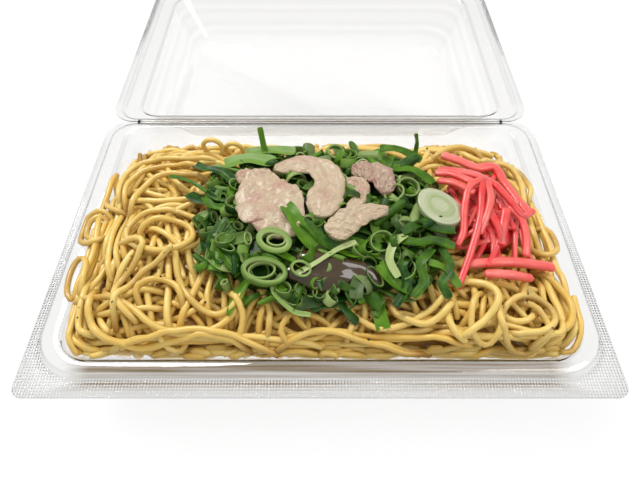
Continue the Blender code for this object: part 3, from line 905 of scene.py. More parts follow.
# The loops and sweeps that lie on top, as plans in millimetres.
showing = [
    oval(-58, -8, 14.5, 9.5, -6, 1.12, 60), oval(-57, -10.5, 10.5, 7.5, -8, 1.0, 200),
    oval(-88, -1, 6.5, 8.0, 0, 0.85, 30), oval(-87, -1.5, 4.2, 5.5, 0, 0.7, 50),
    oval(-88.5, -24, 3.6, 9.0, 8, 0.95, -60),
    ((-88, 15), (-86, 10), (-81, 6), (-75, 4)),
    ((-80, 8), (-82, 22), (-79, 30), (-68, 33), (-52, 31), (-40, 29)),
    ((-77, 6), (-78, 18), (-72, 26), (-60, 28), (-46, 26)),
    ((-74, 2), (-72, 12), (-66, 21), (-54, 22), (-44, 18)),
    ((-9, 30), (0, 36), (17, 39), (32, 37), (44, 31)), ((-2, 29), (12, 36), (28, 34), (40, 28)),
    ((48, 33), (57, 40), (68, 41), (73, 34)), ((68, 30), (78, 35), (86, 30), (87, 20), (84, 10)),
    ((66, 24), (76, 30), (83, 25), (82, 14), (80, 4)),
    oval(84, -8, 6.5, 7.0, 10, 0.9, 120), ((78, -22), (84, -29), (87, -36), (84, -44), (75, -49)),
    oval(55, -43.5, 5.0, 9.5, -8, 1.05, 80), ((42, -36), (43, -45), (48, -51), (57, -53), (66, -51)),
    ((60, -34), (59, -44), (62, -51), (70, -52), (79, -48), (83, -41)),
    ((66, -36), (73, -40), (76, -47), (70, -52)), oval(70, -42, 9.5, 6.5, 15, 0.9, 200),
    ((-86, -34), (-74, -34), (-64, -39), (-56, -45), (-47, -48), (-37, -47), (-29, -41), (-26, -33)),
    ((-52, -17), (-49, -29), (-43, -37), (-36, -41), (-29, -39), (-26, -31), (-27, -24)),
    ((-75, -12), (-64, -14), (-66, -21), (-71, -30), (-68, -38), (-61, -44)),
    ((-48, -17), (-57, -21), (-65, -28), (-69, -37), (-69, -46)),
    ((-61, -39), (-63, -32), (-56, -29), (-49, -32), (-46, -40)),
    ((-80, -30), (-78, -42), (-70, -50), (-58, -53), (-45, -51), (-34, -49), (-22, -51)),
    ((-66, -52), (-52, -49), (-40, -47), (-28, -50), (-14, -52)),
    ((-14, -51), (0, -47), (13, -49), (26, -52), (38, -51)),
    ((8, -33), (12, -41), (21, -46), (32, -43), (41, -37), (46, -29)),
    ((23, -33), (26, -41), (33, -45), (41, -42), (47, -34)),
    ((-13, -30), (-9, -39), (-13, -46), (-10, -51)), ((-8, -34), (3, -35), (11, -41), (9, -49)),
    ((42, -31), (49, -30), (56, -32), (59, -38), (55, -44), (46, -50)),
    ((-32, -32), (-26, -41), (-27, -49)), ((-22, -30), (-17, -40), (-18, -50)),
]


def makeTopNoodles():
    # The upper layers over the core: bundles laid round by round up to the heap's outline, strands along
    # the mouth's edge, then the loops and sweeps that show, and two loops standing up at the back.
    rng = np.random.default_rng(noodle["seed"])

    def base(x, y):      # what the first strands lie on
        within = (np.abs(x) < mouthHalf - 1) & (y > mouthFront + 1) & (y < mouthBack - 1)
        heap = np.where(within, noodleTop(x, y) - noodle["depth"], pack["rim"] + pack["bead"])
        return np.maximum(heap, wallHeight(x, y))

    def least(x, y):      # strand middles stay this high, clear of the wall
        return wallHeight(x, y, 1.45)

    def curls(at):      # curlier towards the right
        return np.interp(at[:, 0], (-90.0, -20.0, 40.0, 90.0), (0.075, 0.08, 0.12, 0.17))

    def goal(x, y):      # bundles start inside the mouth only
        return np.where((np.abs(x) < mouthHalf) & (y > mouthFront) & (y < mouthBack), heapTop(x, y), 0.0)

    bed = Bed((-98.0, -62.0), (196.0, 124.0), 0.5, base)
    pile = Pile()
    kept = 0
    for turn, drop in enumerate(np.linspace(5.4, 0.0, noodle["rounds"])):      # each round reaches higher
        plans = bundlePlans(rng, bed, goal, noodle["bundles"], noodle["members"], noodle["longest"], curls,
                            mouthPush(1.5))
        kept += layStrands(rng, bed, pile, plans, lambda x, y: heapTop(x, y) - drop, 20.0, 0.8, least=least)
        if turn % 3 == 1:
            plans = rimPlans(rng, 16, 90.0, 0.8, 8.0)
            kept += layStrands(rng, bed, pile, plans, lambda x, y: heapTop(x, y) - drop + 1.0, 24.0, 1.4,
                               least=least)
    for corners in showing:
        plan = alongPath(corners)[None]
        kept += layStrands(rng, bed, pile, plan, lambda x, y: heapTop(x, y) + 3.0, 8.0, 3.0, least=least)
    turn = np.linspace(-0.25 * pi, 1.25 * pi, 26)
    for x, y, z, radius in ((-45.5, 36.5, 39.0, 4.1), (-36.5, 36.0, 37.8, 3.7)):
        loop = np.stack([x + radius * np.cos(turn), y + 0.4 * turn, z + radius * np.sin(turn)], axis=1)
        pile.tube(loop, noodle["radius"] * 0.9, noodle["sides"], (0.0, -1.0, 0.0), (0.3, 0.0, 0.5))
    print("top strands kept", kept)
    finishNoodles(pile, "noodleStrands")
    return bed


def makeWallNoodles():
    # Strands pressed against the inside of the wall, laid on the wall unrolled: along it and down it.
    rng = np.random.default_rng(noodle["seed"] + 1)
    rows = profileRows(pack["bead"], 0.0)
    upper = closed(outline(rows[4], 60, 40)) - (0.0, 0.0, 0.6)
    lower = closed(outline(rows[5] + (0.3, 0.3, 0.3, 0, 0, 0), 60, 40))
    middle = (upper + lower) / 2
    length = runAlong(middle)
    whole, slope = length[-1], float(np.linalg.norm(upper[0] - lower[0]))
    band, cell = wallNoodle["band"], whole / round(whole / 0.5)

    def read(ring, at):
        return np.stack([np.interp(at % whole, length, ring[:, axis]) for axis in range(3)], axis=-1)

    def onWall(plan, line):      # back from the unrolled wall to the tray, heights measured inwards
        share = np.clip(plan[:, 1] / slope, 0.07, 0.93)[:, None]
        surface = read(upper, plan[:, 0]) * (1 - share) + read(lower, plan[:, 0]) * share
        ahead = unit(read(middle, plan[:, 0] + 1.0) - read(middle, plan[:, 0] - 1.0))
        down = unit(read(lower, plan[:, 0]) - read(upper, plan[:, 0]))
        inward = unit(np.cross(down, ahead))
        inward *= np.sign(-(inward[:, :2] * surface[:, :2]).sum(1) + 1e-9)[:, None]
        return surface + inward * (band + wallNoodle["gap"] - line)[:, None], -inward

    def push(at):
        top, foot = (4.0 - at[:, 1]) / 3.0, (at[:, 1] - slope + 4.0) / 3.0
        return np.stack([np.zeros(len(at)), np.clip(top, 0.0, 2.0) - np.clip(foot, 0.0, 2.0)], axis=1)

    def space(s, t):
        spot = read(upper, s)[..., :2] * 0.93      # the heap's height a little inside the wall
        return np.where(t > (pack["rim"] + 1.8 - noodleTop(spot[..., 0], spot[..., 1])), band, -9.0)

    bed = Bed((0.0, 0.0), (whole, slope), cell, lambda s, t: 0.0 * s * t, wrapU=True)
    pile = Pile()
    kept = 0
    for again in range(wallNoodle["rounds"]):
        plans = bundlePlans(rng, bed, space, wallNoodle["bundles"], noodle["members"],
                            wallNoodle["longest"], lambda at: np.full(len(at), wallNoodle["curl"]), push)
        kept += layStrands(rng, bed, pile, plans, space, 14.0, 0.9, onWall, wallNoodle["dive"], most=band)
    print("wall strands kept", kept)
    finishNoodles(pile, "noodleWall")


def makeFloorNoodles():
    # One flat layer on the tray's floor, laid upside down: heights are measured from the core down.
    rng = np.random.default_rng(noodle["seed"] + 2)
    band = floorNoodle["band"]
    middle = (mouthFront + mouthBack) / 2
    inset = pack["wallRun"] + 4.4
    half = np.array((mouthHalf - inset, (mouthBack - mouthFront) / 2 - inset))

    def onFloor(plan, line):      # drawn inside the floor's rounded corners
        power = floorNoodle["cornerPower"]
        beyond = ((np.abs(plan) / (half + 2.6)) ** power).sum(1) ** (1 / power)
        plan = plan / np.maximum(beyond, 1.0)[:, None]
        return np.c_[plan + (0.0, middle), floorNoodle["height"] + band - line], (0.0, 0.0, -1.0)

    def push(at):
        return -np.sign(at) * np.clip((np.abs(at) - half + 6.0) / 6.0, 0.0, 2.0)

    def space(x, y):
        return np.full(np.shape(x), band)

    bed = Bed(-half, 2 * half, 0.5, lambda x, y: 0.0 * x * y)
    pile = Pile()
    kept = 0
    for again in range(floorNoodle["rounds"]):
        plans = bundlePlans(rng, bed, space, floorNoodle["bundles"], noodle["members"],
                            floorNoodle["longest"], lambda at: np.full(len(at), floorNoodle["curl"]), push)
        kept += layStrands(rng, bed, pile, plans, space, 22.0, 0.7, onFloor, floorNoodle["dive"], most=band)
    print("floor strands kept", kept)
    finishNoodles(pile, "noodleFloor")


makeNoodleCore()
topBed = makeTopNoodles()
makeWallNoodles()
makeFloorNoodles()


def ribbon(pile, spine, halfWidths, thickness, up, lift, look, across=9):
    # A flat piece along a spine: its cross-section is a thin closed loop, lifted by lift(u, v) across it.
    # u runs 0 to 1 along the spine, v runs -1 to 1 over the width; the ends are closed flat.
    heading = unit(np.gradient(spine, axis=0))
    side = unit(np.cross(np.broadcast_to(up, spine.shape), heading))
    over = np.cross(heading, side)
    v = np.linspace(1.0, -1.0, across)
    u = np.linspace(0.0, 1.0, len(spine))
    rise = lift(u[:, None], v[None, :])
    flat = spine[:, None] + side[:, None] * (np.reshape(halfWidths, (-1, 1)) * v)[..., None]
    thin = thickness / 2 * (1.0 - 0.75 * np.abs(v) ** 6)
    above = flat + over[:, None] * (rise + thin)[..., None]
    below = flat + over[:, None] * (rise - thin)[..., None]
    ring = np.concatenate([above, below[:, ::-1]], axis=1)
    looks = look(u[:, None], np.concatenate([v, v[::-1]])[None, :]) if callable(look) else look
    pile.grid(ring, looks, wrapV=True, capEnds=True)


def cutRing(pile, centre, axis, radius, wall, height, squash, slant, turn, look, around=22):
    # A slice of hollow stalk: a rounded rectangle section carried round an oval, ends cut at a slant, and
    # paler inside.
    axis = unit(np.array(axis, float))
    first = unit(np.cross(axis, (0.31, 0.87, 0.4)))
    second = np.cross(axis, first)
    first, second = first * cos(turn) + second * sin(turn), second * cos(turn) - first * sin(turn)
    angle = np.linspace(0.0, 2 * pi, around, endpoint=False)[:, None]
    section = np.array(((0.5, -0.42), (0.5, 0.42), (0.3, 0.5), (-0.3, 0.5),
                        (-0.5, 0.42), (-0.5, -0.42), (-0.3, -0.5), (0.3, -0.5)))
    out = section[None, :, 0] * wall
    along = section[None, :, 1] * height + np.sign(section[None, :, 1]) * slant * np.cos(angle) * 0.5
    x = np.cos(angle) * (radius + out)
    y = np.sin(angle) * (radius * squash + out)
    points = np.array(centre) + x[..., None] * first + y[..., None] * second + along[..., None] * axis
    inner = (section[:, 0] < 0)[None, :, None]
    looks = np.where(inner, np.array(look) * (0.35, 1.0, 1.0) + (0.0, 0.4, 0.0), np.array(look))
    pile.grid(points, np.broadcast_to(looks, points.shape), wrapU=True, wrapV=True)


greens = {
    "centre": (1.0, -3.5),
    "half": (45.0, 35.0),
    "pieces": 400,
    "lowerLayer": 130,      # the first pieces, which may also lie under the pork
    "coreDrop": 3.6,
    "wall": 0.6,
    "seed": 5,
    "clear": (              # ovals kept free for the glaze, the large slices and the pork
        (3.5, -28.8, 12.0, 4.2), (-15.8, -19.5, 6.0, 5.0), (-18.5, -31.0, 7.5, 5.5), (-6.5, -29.5, 4.0, 4.0),
        (-18.0, -1.0, 13.0, 18.0), (0.5, 6.0, 8.0, 14.0), (20.0, 8.0, 8.0, 8.0), (14.0, -11.0, 10.0, 6.0),
    ),
}

greensMaterial = foodMaterial("greenOnion", light=(0.108, 0.245, 0.012), dark=(0.010, 0.052, 0.004),
                              deep=(0.40, 0.48, 0.19), patchScale=260.0, patchShare=1.3, roughness=0.38,
                              shine=0.22, subsurface=0.12, scatter=(0.4, 1.0, 0.2), bumpScale=1300.0,
                              bump=0.12)


def makeGreensCore():
    # The hidden body of the greens: the CAD heap lowered and drawn in, closed underneath.
    angle = np.linspace(0.0, 2 * pi, 72, endpoint=False)[None, :]
    share = np.concatenate([np.linspace(0.05, 0.86, 12), np.linspace(0.88, 0.05, 12)])[:, None]
    reach = (np.abs(np.cos(angle)) ** 3 + np.abs(np.sin(angle)) ** 3) ** (-1 / 3)
    x = greens["centre"][0] + greens["half"][0] * share * reach * np.cos(angle)
    y = greens["centre"][1] + greens["half"][1] * share * reach * np.sin(angle)
    z = np.maximum(greensTop(x, y) - greens["coreDrop"], noodleTop(x, y) - 3.0)
    z[:12] = noodleTop(x[:12], y[:12]) - 5.0      # the underside
    pile = Pile()
    pile.grid(np.stack([x, y, z], axis=-1), (1.0, 0.0, 0.5), wrapV=True, capEnds=True)
    return pile


def scatteredSpots(rng):
    # Spots over the heap in units of its half size, kept apart, and closer in the lower layer.
    spots = rng.uniform(-1.0, 1.0, (7000, 2))
    spots = spots[(np.abs(spots) ** 2.8).sum(1) < 1.0]
    chosen = [spots[0]]
    for spot in spots:
        upperHalf = len(chosen) > greens["pieces"] / 2
        near = np.array(chosen[len(chosen) // 2 if upperHalf else 0:])
        gap = 0.078 if len(chosen) < greens["pieces"] / 2 else 0.085
        if np.hypot(*(near - spot).T).min() > gap:
            chosen.append(spot)
        if len(chosen) >= greens["pieces"]:
            break
    return np.array(chosen)


def splitLeaf(rng, pile, spot, aim, look):
    # A curved strip of leaf, creased along its middle and tapered towards one end.
    length, width = rng.uniform(8.0, 20.0), rng.uniform(0.9, 2.6)
    t = np.linspace(-0.5, 0.5, 14)
    turn = aim + rng.uniform(-0.9, 0.9) * t
    sag = rng.uniform(-2.6, 0.6) * (2 * t) ** 2 + rng.uniform(-2.0, 2.0) * t
    path = spot + np.stack([np.cos(turn) * t * length, np.sin(turn) * t * length, sag], axis=1)
    tilt = rng.uniform(-0.8, 0.8)
    up = np.array((-sin(aim) * tilt, cos(aim) * tilt, 1.0))
    crease, wave = rng.uniform(-0.4, 0.8) * width, rng.uniform(0.0, 2 * pi)
    taper = np.clip(2 * t * rng.choice((-1, 1)), 0, 1) ** rng.uniform(2.0, 8.0)

    def lift(u, v):
        return crease * v ** 2 + 0.25 * np.sin(9.0 * u + wave) * v

    ribbon(pile, path, width * np.clip(1.0 - 0.8 * taper, 0.05, 1.0), 0.45, up, lift, look, across=7)


def makeGreens():
    # Chopped green onion: slices, tubes and split leaves scattered over the heap, then the ones that show.
    rng = np.random.default_rng(greens["seed"])
    pile = makeGreensCore()
    chosen = scatteredSpots(rng)
    x, y = (np.array(greens["centre"]) + chosen * greens["half"]).T
    layer = np.arange(len(chosen)) / len(chosen)
    height = np.maximum(greensTop(x, y), noodleTop(x, y)) - 2.8 + 2.8 * layer
    for number, spot in enumerate(np.stack([x, y, height], axis=1)):
        inClear = any(hypot((spot[0] - a) / c, (spot[1] - b) / d) < 1.0 for a, b, c, d in greens["clear"])
        if number > greens["lowerLayer"] and inClear:
            continue
        kind, tone = rng.uniform(), rng.uniform(-0.1, 1.15)
        pale = rng.uniform() ** 5 * 0.9
        aim = rng.uniform(0.0, 2 * pi)
        ahead = np.array((cos(aim), sin(aim), 0.0))
        look = (tone, pale, rng.uniform())
        if kind < 0.55:      # slices and short tubes
            lean = rng.uniform(0.0, 1.4)
            axis = ahead * sin(lean) + (0.0, 0.0, cos(lean))
            radius = rng.uniform(1.6, 4.4)
            cutRing(pile, spot, axis, radius, greens["wall"], rng.uniform(1.4, 4.2), rng.uniform(0.35, 1.0),
                    rng.uniform(-1.5, 1.5), rng.uniform(0.0, 2 * pi), look)
        elif kind < 0.68:      # longer tubes lying down, cut at a slant
            axis = ahead + (0.0, 0.0, rng.uniform(-0.25, 0.25))
            cutRing(pile, spot, axis, rng.uniform(1.5, 2.8), greens["wall"], rng.uniform(7.0, 13.0),
                    rng.uniform(0.35, 0.8), rng.uniform(-4.0, 4.0), 0.0, look)
        else:
            splitLeaf(rng, pile, spot, aim, look)
    heroGreens(pile)
    chopped = pile.finish("greenOnion", greensMaterial)
    chopped.data.set_sharp_from_angle(angle=radians(55.0))
    seat(chopped, "greens")


def heroGreens(pile):
    # The pieces that stand out. Leaves: spine corners, half width, crease, tone and paleness. Then slices:
    # middle, axis, radius, wall, height, squash, slant, turn, tone and paleness.
    leaves = (
        (((-60.0, 17.5, 41.5), (-53.0, 14.5, 43.0), (-45.0, 9.0, 43.5), (-38.0, 3.0, 44.0)),
         1.0, 0.4, (0.55, 0.0)),
        (((-50.0, 22.5, 43.0), (-46.0, 18.5, 45.0), (-38.0, 15.5, 46.0), (-32.0, 9.0, 46.0)),
         2.0, 0.9, (0.85, 0.0)),
        (((-24.0, 33.0, 53.5), (-23.2, 30.5, 49.5), (-22.0, 26.5, 45.0)), 1.2, 0.5, (0.15, 0.0)),
        (((-38.0, 21.5, 44.0), (-28.0, 22.5, 46.0), (-18.0, 19.5, 47.0)), 3.4, 1.2, (-0.2, 0.16)),
        (((-30.0, 28.0, 44.0), (-20.0, 27.5, 46.0), (-10.0, 26.0, 46.5)), 2.6, 1.0, (0.0, 0.2)),
        (((-12.5, -5.0, 50.4), (-9.5, -10.0, 51.0), (-6.5, -16.0, 49.6), (-2.0, -21.5, 47.4)),
         2.7, 1.3, (0.2, 0.0)),
        (((-7.5, -11.0, 49.6), (-3.5, -14.5, 49.4), (1.5, -19.5, 48.0), (6.0, -22.0, 46.6)),
         2.0, 1.1, (0.75, 0.0)),
        (((38.0, 31.0, 52.0), (38.8, 29.0, 48.0), (38.0, 25.5, 44.0)), 0.9, 0.3, (0.6, 0.0)),
        (((-8.0, -31.5, 46.2), (-1.0, -27.5, 47.4), (6.0, -22.5, 47.8), (12.5, -19.5, 48.0)),
         1.0, 0.4, (0.0, 1.2)),
        (((30.0, -16.0, 47.0), (25.5, -20.0, 47.4), (23.5, -26.0, 46.6), (26.0, -32.0, 45.0)),
         1.4, 0.6, (0.0, 1.0)),
        (((29.0, -15.0, 47.2), (35.0, -12.0, 47.9), (41.0, -13.5, 47.2), (48.0, -13.0, 45.5)),
         1.8, 1.0, (0.7, 0.0)),
        (((28.0, -18.0, 46.6), (34.0, -19.5, 47.2), (40.0, -18.0, 46.4), (47.0, -19.5, 44.5)),
         1.9, 1.1, (0.6, 0.0)),
        (((39.0, -21.0, 45.9), (34.0, -27.0, 45.4), (35.0, -33.0, 43.8), (31.0, -38.0, 42.3)),
         1.7, 0.8, (0.6, 0.0)),
        (((42.0, -20.0, 45.0), (44.5, -27.0, 44.2), (41.0, -33.0, 43.0), (43.0, -38.0, 41.6)),
         1.5, 0.6, (0.75, 0.0)),
        (((34.0, -20.0, 45.2), (28.0, -27.0, 45.2), (29.0, -34.0, 43.6), (25.0, -41.0, 41.5)),
         1.6, 0.8, (0.9, 0.0)),
        (((20.0, -27.0, 45.4), (24.0, -33.0, 44.2), (30.0, -36.0, 42.8)), 2.0, 0.9, (0.3, 0.0)),
        (((37.0, -26.0, 45.2), (43.0, -28.0, 43.8), (47.0, -34.0, 41.8)), 1.5, 0.6, (0.2, 0.05)),
        (((-13.0, -30.0, 44.6), (-15.5, -36.0, 43.4), (-9.0, -43.0, 42.2), (-3.0, -44.5, 42.0)),
         0.9, 0.3, (-0.1, 0.5)),
        (((-35.0, -8.0, 45.0), (-38.0, -17.0, 44.2), (-34.0, -25.0, 43.2)), 2.0, 0.8, (0.8, 0.0)),
        (((-31.0, -12.0, 45.4), (-34.0, -20.0, 44.8), (-29.0, -28.0, 43.8)), 1.8, 0.8, (0.6, 0.0)),
        (((24.0, 28.0, 46.4), (32.0, 26.5, 47.0), (40.0, 22.0, 45.4)), 2.2, 1.0, (0.5, 0.0)),
        (((28.0, 16.0, 47.4), (36.0, 15.0, 47.2), (43.0, 10.0, 45.6)), 2.0, 1.0, (0.4, 0.0)),
        (((-44.0, 5.0, 43.6), (-40.0, -1.0, 45.2), (-33.0, -3.0, 46.4)), 1.6, 0.8, (0.5, 0.0)),
    )
    taper = 1.0 - 0.25 * np.abs(np.linspace(-1.0, 1.0, 24)) ** 9
    for corners, width, crease, (tone, pale) in leaves:

        def lift(u, v):
            return crease * (np.abs(v) ** 1.5 - 0.3) + 0.25 * np.sin(7.0 * u + 1.5 * v)

        ribbon(pile, curveThrough(corners, 24), width * taper, 0.45, (0.0, 0.12, 1.0), lift,
               (tone, pale, 0.5))
    rings = (
        ((-15.8, -19.5, 48.4), (0.1, -0.25, 1.0), 5.2, 2.0, 3.0, 0.70, 0.8, 0.1, (0.0, 0.30)),
        ((-15.0, -19.2, 48.2), (0.1, -0.25, 1.0), 3.1, 0.8, 2.6, 0.66, 0.6, 0.4, (0.1, 0.42)),
        ((-18.5, -30.5, 46.2), (0.1, -0.3, 1.0), 7.0, 1.7, 3.8, 0.58, 1.2, 0.2, (0.30, 0.16)),
        ((-19.5, -30.0, 46.0), (0.1, -0.3, 1.0), 4.4, 0.8, 3.0, 0.62, 0.8, 0.5, (0.1, 0.34)),
        ((-6.5, -29.5, 46.6), (0.2, -0.55, 1.0), 3.2, 0.9, 3.2, 0.75, 0.4, 0.0, (0.0, 0.35)),
        ((-29.5, -1.5, 46.6), (0.0, 0.2, 1.0), 5.0, 0.8, 3.0, 0.8, 0.8, 0.3, (0.9, 0.0)),
        ((-29.0, -2.0, 47.4), (0.1, 0.1, 1.0), 2.4, 0.8, 2.4, 0.8, 0.4, 0.3, (0.8, 0.05)),
        ((21.0, -18.5, 46.8), (0.3, -0.4, 1.0), 4.4, 0.8, 3.2, 0.8, 0.8, 0.7, (0.45, 0.1)),
        ((33.0, 6.5, 47.0), (0.2, -0.4, 1.0), 4.2, 0.8, 3.0, 0.85, 0.6, 0.2, (0.6, 0.25)),
        ((27.5, 3.0, 47.8), (-0.2, -0.3, 1.0), 3.8, 0.8, 2.8, 0.8, 0.6, 0.9, (0.5, 0.3)),
        ((39.0, -9.6, 46.6), (-1.0, -0.6, 0.15), 2.6, 0.7, 11.0, 0.75, 2.0, 0.0, (0.95, 0.0)),
        ((6.0, 27.0, 45.6), (0.2, -0.5, 1.0), 3.2, 0.9, 3.2, 0.85, 0.6, 0.4, (0.2, 0.3)),
        ((20.0, 25.0, 45.2), (0.9, -0.3, 0.3), 2.4, 0.8, 7.0, 0.8, 1.5, 0.4, (0.5, 0.45)),
        ((33.0, 20.0, 45.8), (0.9, 0.5, 0.2), 2.8, 0.8, 10.0, 0.6, 2.0, 0.4, (0.85, 0.0)),
    )
    for middle, axis, radius, wall, height, squash, slant, turn, (tone, pale) in rings:
        cutRing(pile, middle, axis, radius, wall, height, squash, slant, turn, (tone, pale, 0.5), around=32)


makeGreens()


porkMaterial = foodMaterial("porkSurface", light=(0.52, 0.40, 0.26), dark=(0.46, 0.27, 0.195),
                            deep=(0.30, 0.17, 0.14), patchScale=170.0, patchShare=3.0, roughness=0.42,
                            coat=0.25, subsurface=0.25, scatter=(1.0, 0.5, 0.4), bumpScale=650.0,
                            bump=1.0)

pork = {
    "thickness": 1.9,
    "rise": -0.5,
    "seed": 3,
    "slices": {      # spine corners, widths along it, ruffle size, share of pink, shade
        "pork_slice_a": (((-20.0, 14.5), (-21.5, 8.5), (-19.0, -1.0), (-15.0, -10.0), (-15.5, -18.0)),
                         (8.0, 17.0, 26.0, 21.0, 13.0), 1.1, 0.62, 0.0),
        "pork_slice_b": (((-17.5, 14.5), (-10.0, 18.0), (-1.0, 16.0), (3.6, 7.5), (1.5, -2.0), (-0.5, -9.5)),
                         (6.0, 9.0, 9.5, 11.0, 12.5, 9.0), 0.85, 0.35, 0.0),
        "pork_slice_c": (((12.0, 14.0), (17.5, 14.0), (23.0, 10.0), (25.0, 2.0)),
                         (7.0, 10.0, 10.0, 6.0), 1.3, 1.1, 0.42),
        "pork_slice_d": (((4.0, -18.5), (8.0, -13.5), (15.0, -9.0), (24.5, -5.5)),
                         (8.0, 11.5, 8.5, 5.0), 1.0, 0.05, 0.0),
        "pork_slice_e": (((10.0, 9.0), (14.5, 6.5), (15.5, 1.5), (12.5, -4.5), (11.0, -8.5)),
                         (4.5, 6.5, 5.0, 5.5, 4.5), 0.9, 0.3, 0.0),
        "pork_bit": (((-30.5, 15.0), (-28.5, 12.0), (-26.0, 9.0)), (5.5, 7.5, 6.0), 0.7, 0.8, 0.05),
    },
}


def makePork(name, corners, widths, ruffle, pink, shade):
    # A thin boiled slice: its edges wander and ruffle, paler where the fat runs.
    rng = np.random.default_rng(pork["seed"] + len(name) + int(widths[0] * 10))
    count, across = 72, 31
    plan = curveThrough(corners, count)
    t = np.linspace(0.0, 1.0, count)
    width = np.interp(t, np.linspace(0.0, 1.0, len(widths)), widths) / 2
    width *= 1.0 + 0.09 * easyNoise(rng, 1, count, 8)[0] + 0.04 * easyNoise(rng, 1, count, 24)[0]
    width *= np.clip(1.0 - np.abs(2 * t - 1) ** 10, 0.05, 1.0) ** 0.5
    ground = nodeTop(name, 1.0)
    steady = smoothRow(ground(plan[:, 0], plan[:, 1]), 5)
    spine = np.c_[plan, steady + pork["rise"] - pork["thickness"] / 2]
    swell, edge = easyNoise(rng, across, count, 5).T, easyNoise(rng, 2, count, 9)
    swell = np.apply_along_axis(smoothRow, 1, swell, 6)
    fine = np.apply_along_axis(smoothRow, 1, easyNoise(rng, across, count, 30).T, 1)

    def lift(u, v):
        side = np.where(v > 0, edge[0][:, None], edge[1][:, None])
        crimp = 0.75 * side * np.abs(v) ** 2.5
        return ruffle * (0.55 * swell[:, ::-1] + crimp + 0.16 * np.sin(34 * u + 5 * v) + 0.48 * fine[:, ::-1])

    def look(u, v):
        streak = 0.5 + 0.5 * np.sin(3.2 * v + 4.0 * u + 2.0 * edge[0][:, None])
        value = np.clip(pink * (0.25 + 0.9 * streak) - 0.25, -0.5, 1.1)
        value, shadeValue = np.broadcast_arrays(value, np.full((count, v.shape[1]), shade))
        return np.stack([value, shadeValue, np.zeros_like(value)], axis=-1)

    pile = Pile()
    ribbon(pile, spine, width, pork["thickness"], (0.0, 0.0, 1.0), lift, look, across=across)
    seat(pile.finish(inTurn(name), porkMaterial), name)


for sliceName, settings in pork["slices"].items():
    makePork(sliceName, *settings)


onion = {
    "radius": 8.4,
    "halfHeight": 1.25,
    "rings": 4.5,
    "ringStep": 0.16,
    "dome": 0.5,
    "shift": 0.6,
}

onionMaterial = foodMaterial("onionSlice", light=(0.49, 0.52, 0.34), dark=(0.31, 0.40, 0.155),
                             deep=(0.4, 0.5, 0.2), patchScale=140.0, patchShare=0.5, roughness=0.22, coat=0.3,
                             subsurface=0.4, scatter=(0.7, 1.0, 0.5), bumpScale=900.0, bump=0.1)


def makeOnion():
    # One thick slice: a disc whose rings stand in faint steps, white outside and pale green within. It leans
    # as its CAD node's top does, read 5 mm to each side of the middle.
    low, high = (np.array(corner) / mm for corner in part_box("onion_slice"))
    middle = (low + high) / 2
    share = np.concatenate([np.linspace(0.02, 0.97, 34), [1.0, 1.0, 0.97], np.linspace(0.9, 0.02, 8)])
    side = np.concatenate([np.ones(34), [0.75, -0.75, -1.0], -np.ones(8)])
    angle = np.linspace(0.0, 2 * pi, 72, endpoint=False)
    rim = onion["radius"] * (1.0 + 0.03 * np.cos(2 * angle + 0.6) + 0.02 * np.cos(3 * angle))
    steps = onion["ringStep"] * np.abs(np.sin(pi * share * onion["rings"])) * (side > 0)
    dome = onion["dome"] * (1.0 - share ** 2)
    x = share[:, None] * rim * np.cos(angle)
    y = share[:, None] * rim * np.sin(angle) * 0.96
    z = side * onion["halfHeight"] + np.where(side > 0, steps + dome, 0.0)
    top = nodeTop("onion_slice", 1.0)
    tiltX = (top(middle[0] + 5, middle[1]) - top(middle[0] - 5, middle[1])) / 10
    tiltY = (top(middle[0], middle[1] + 5) - top(middle[0], middle[1] - 5)) / 10
    height = z[:, None] + float(top(middle[0], middle[1])) - 1.5 + tiltX * x + tiltY * y
    points = np.stack([x + middle[0] + onion["shift"], y + middle[1], height], axis=-1)
    green = np.exp(-((share - 0.52) / 0.16) ** 2) * 0.75 + 0.25 * (share > 0.97)
    look = np.stack([green, np.full(len(share), 0.0), share], axis=1)[:, None].repeat(72, 1)
    pile = Pile()
    pile.grid(points[::-1], look[::-1], wrapV=True, capEnds=True)
    seat(pile.finish("onionSlice", onionMaterial), "onion_slice")


makeOnion()


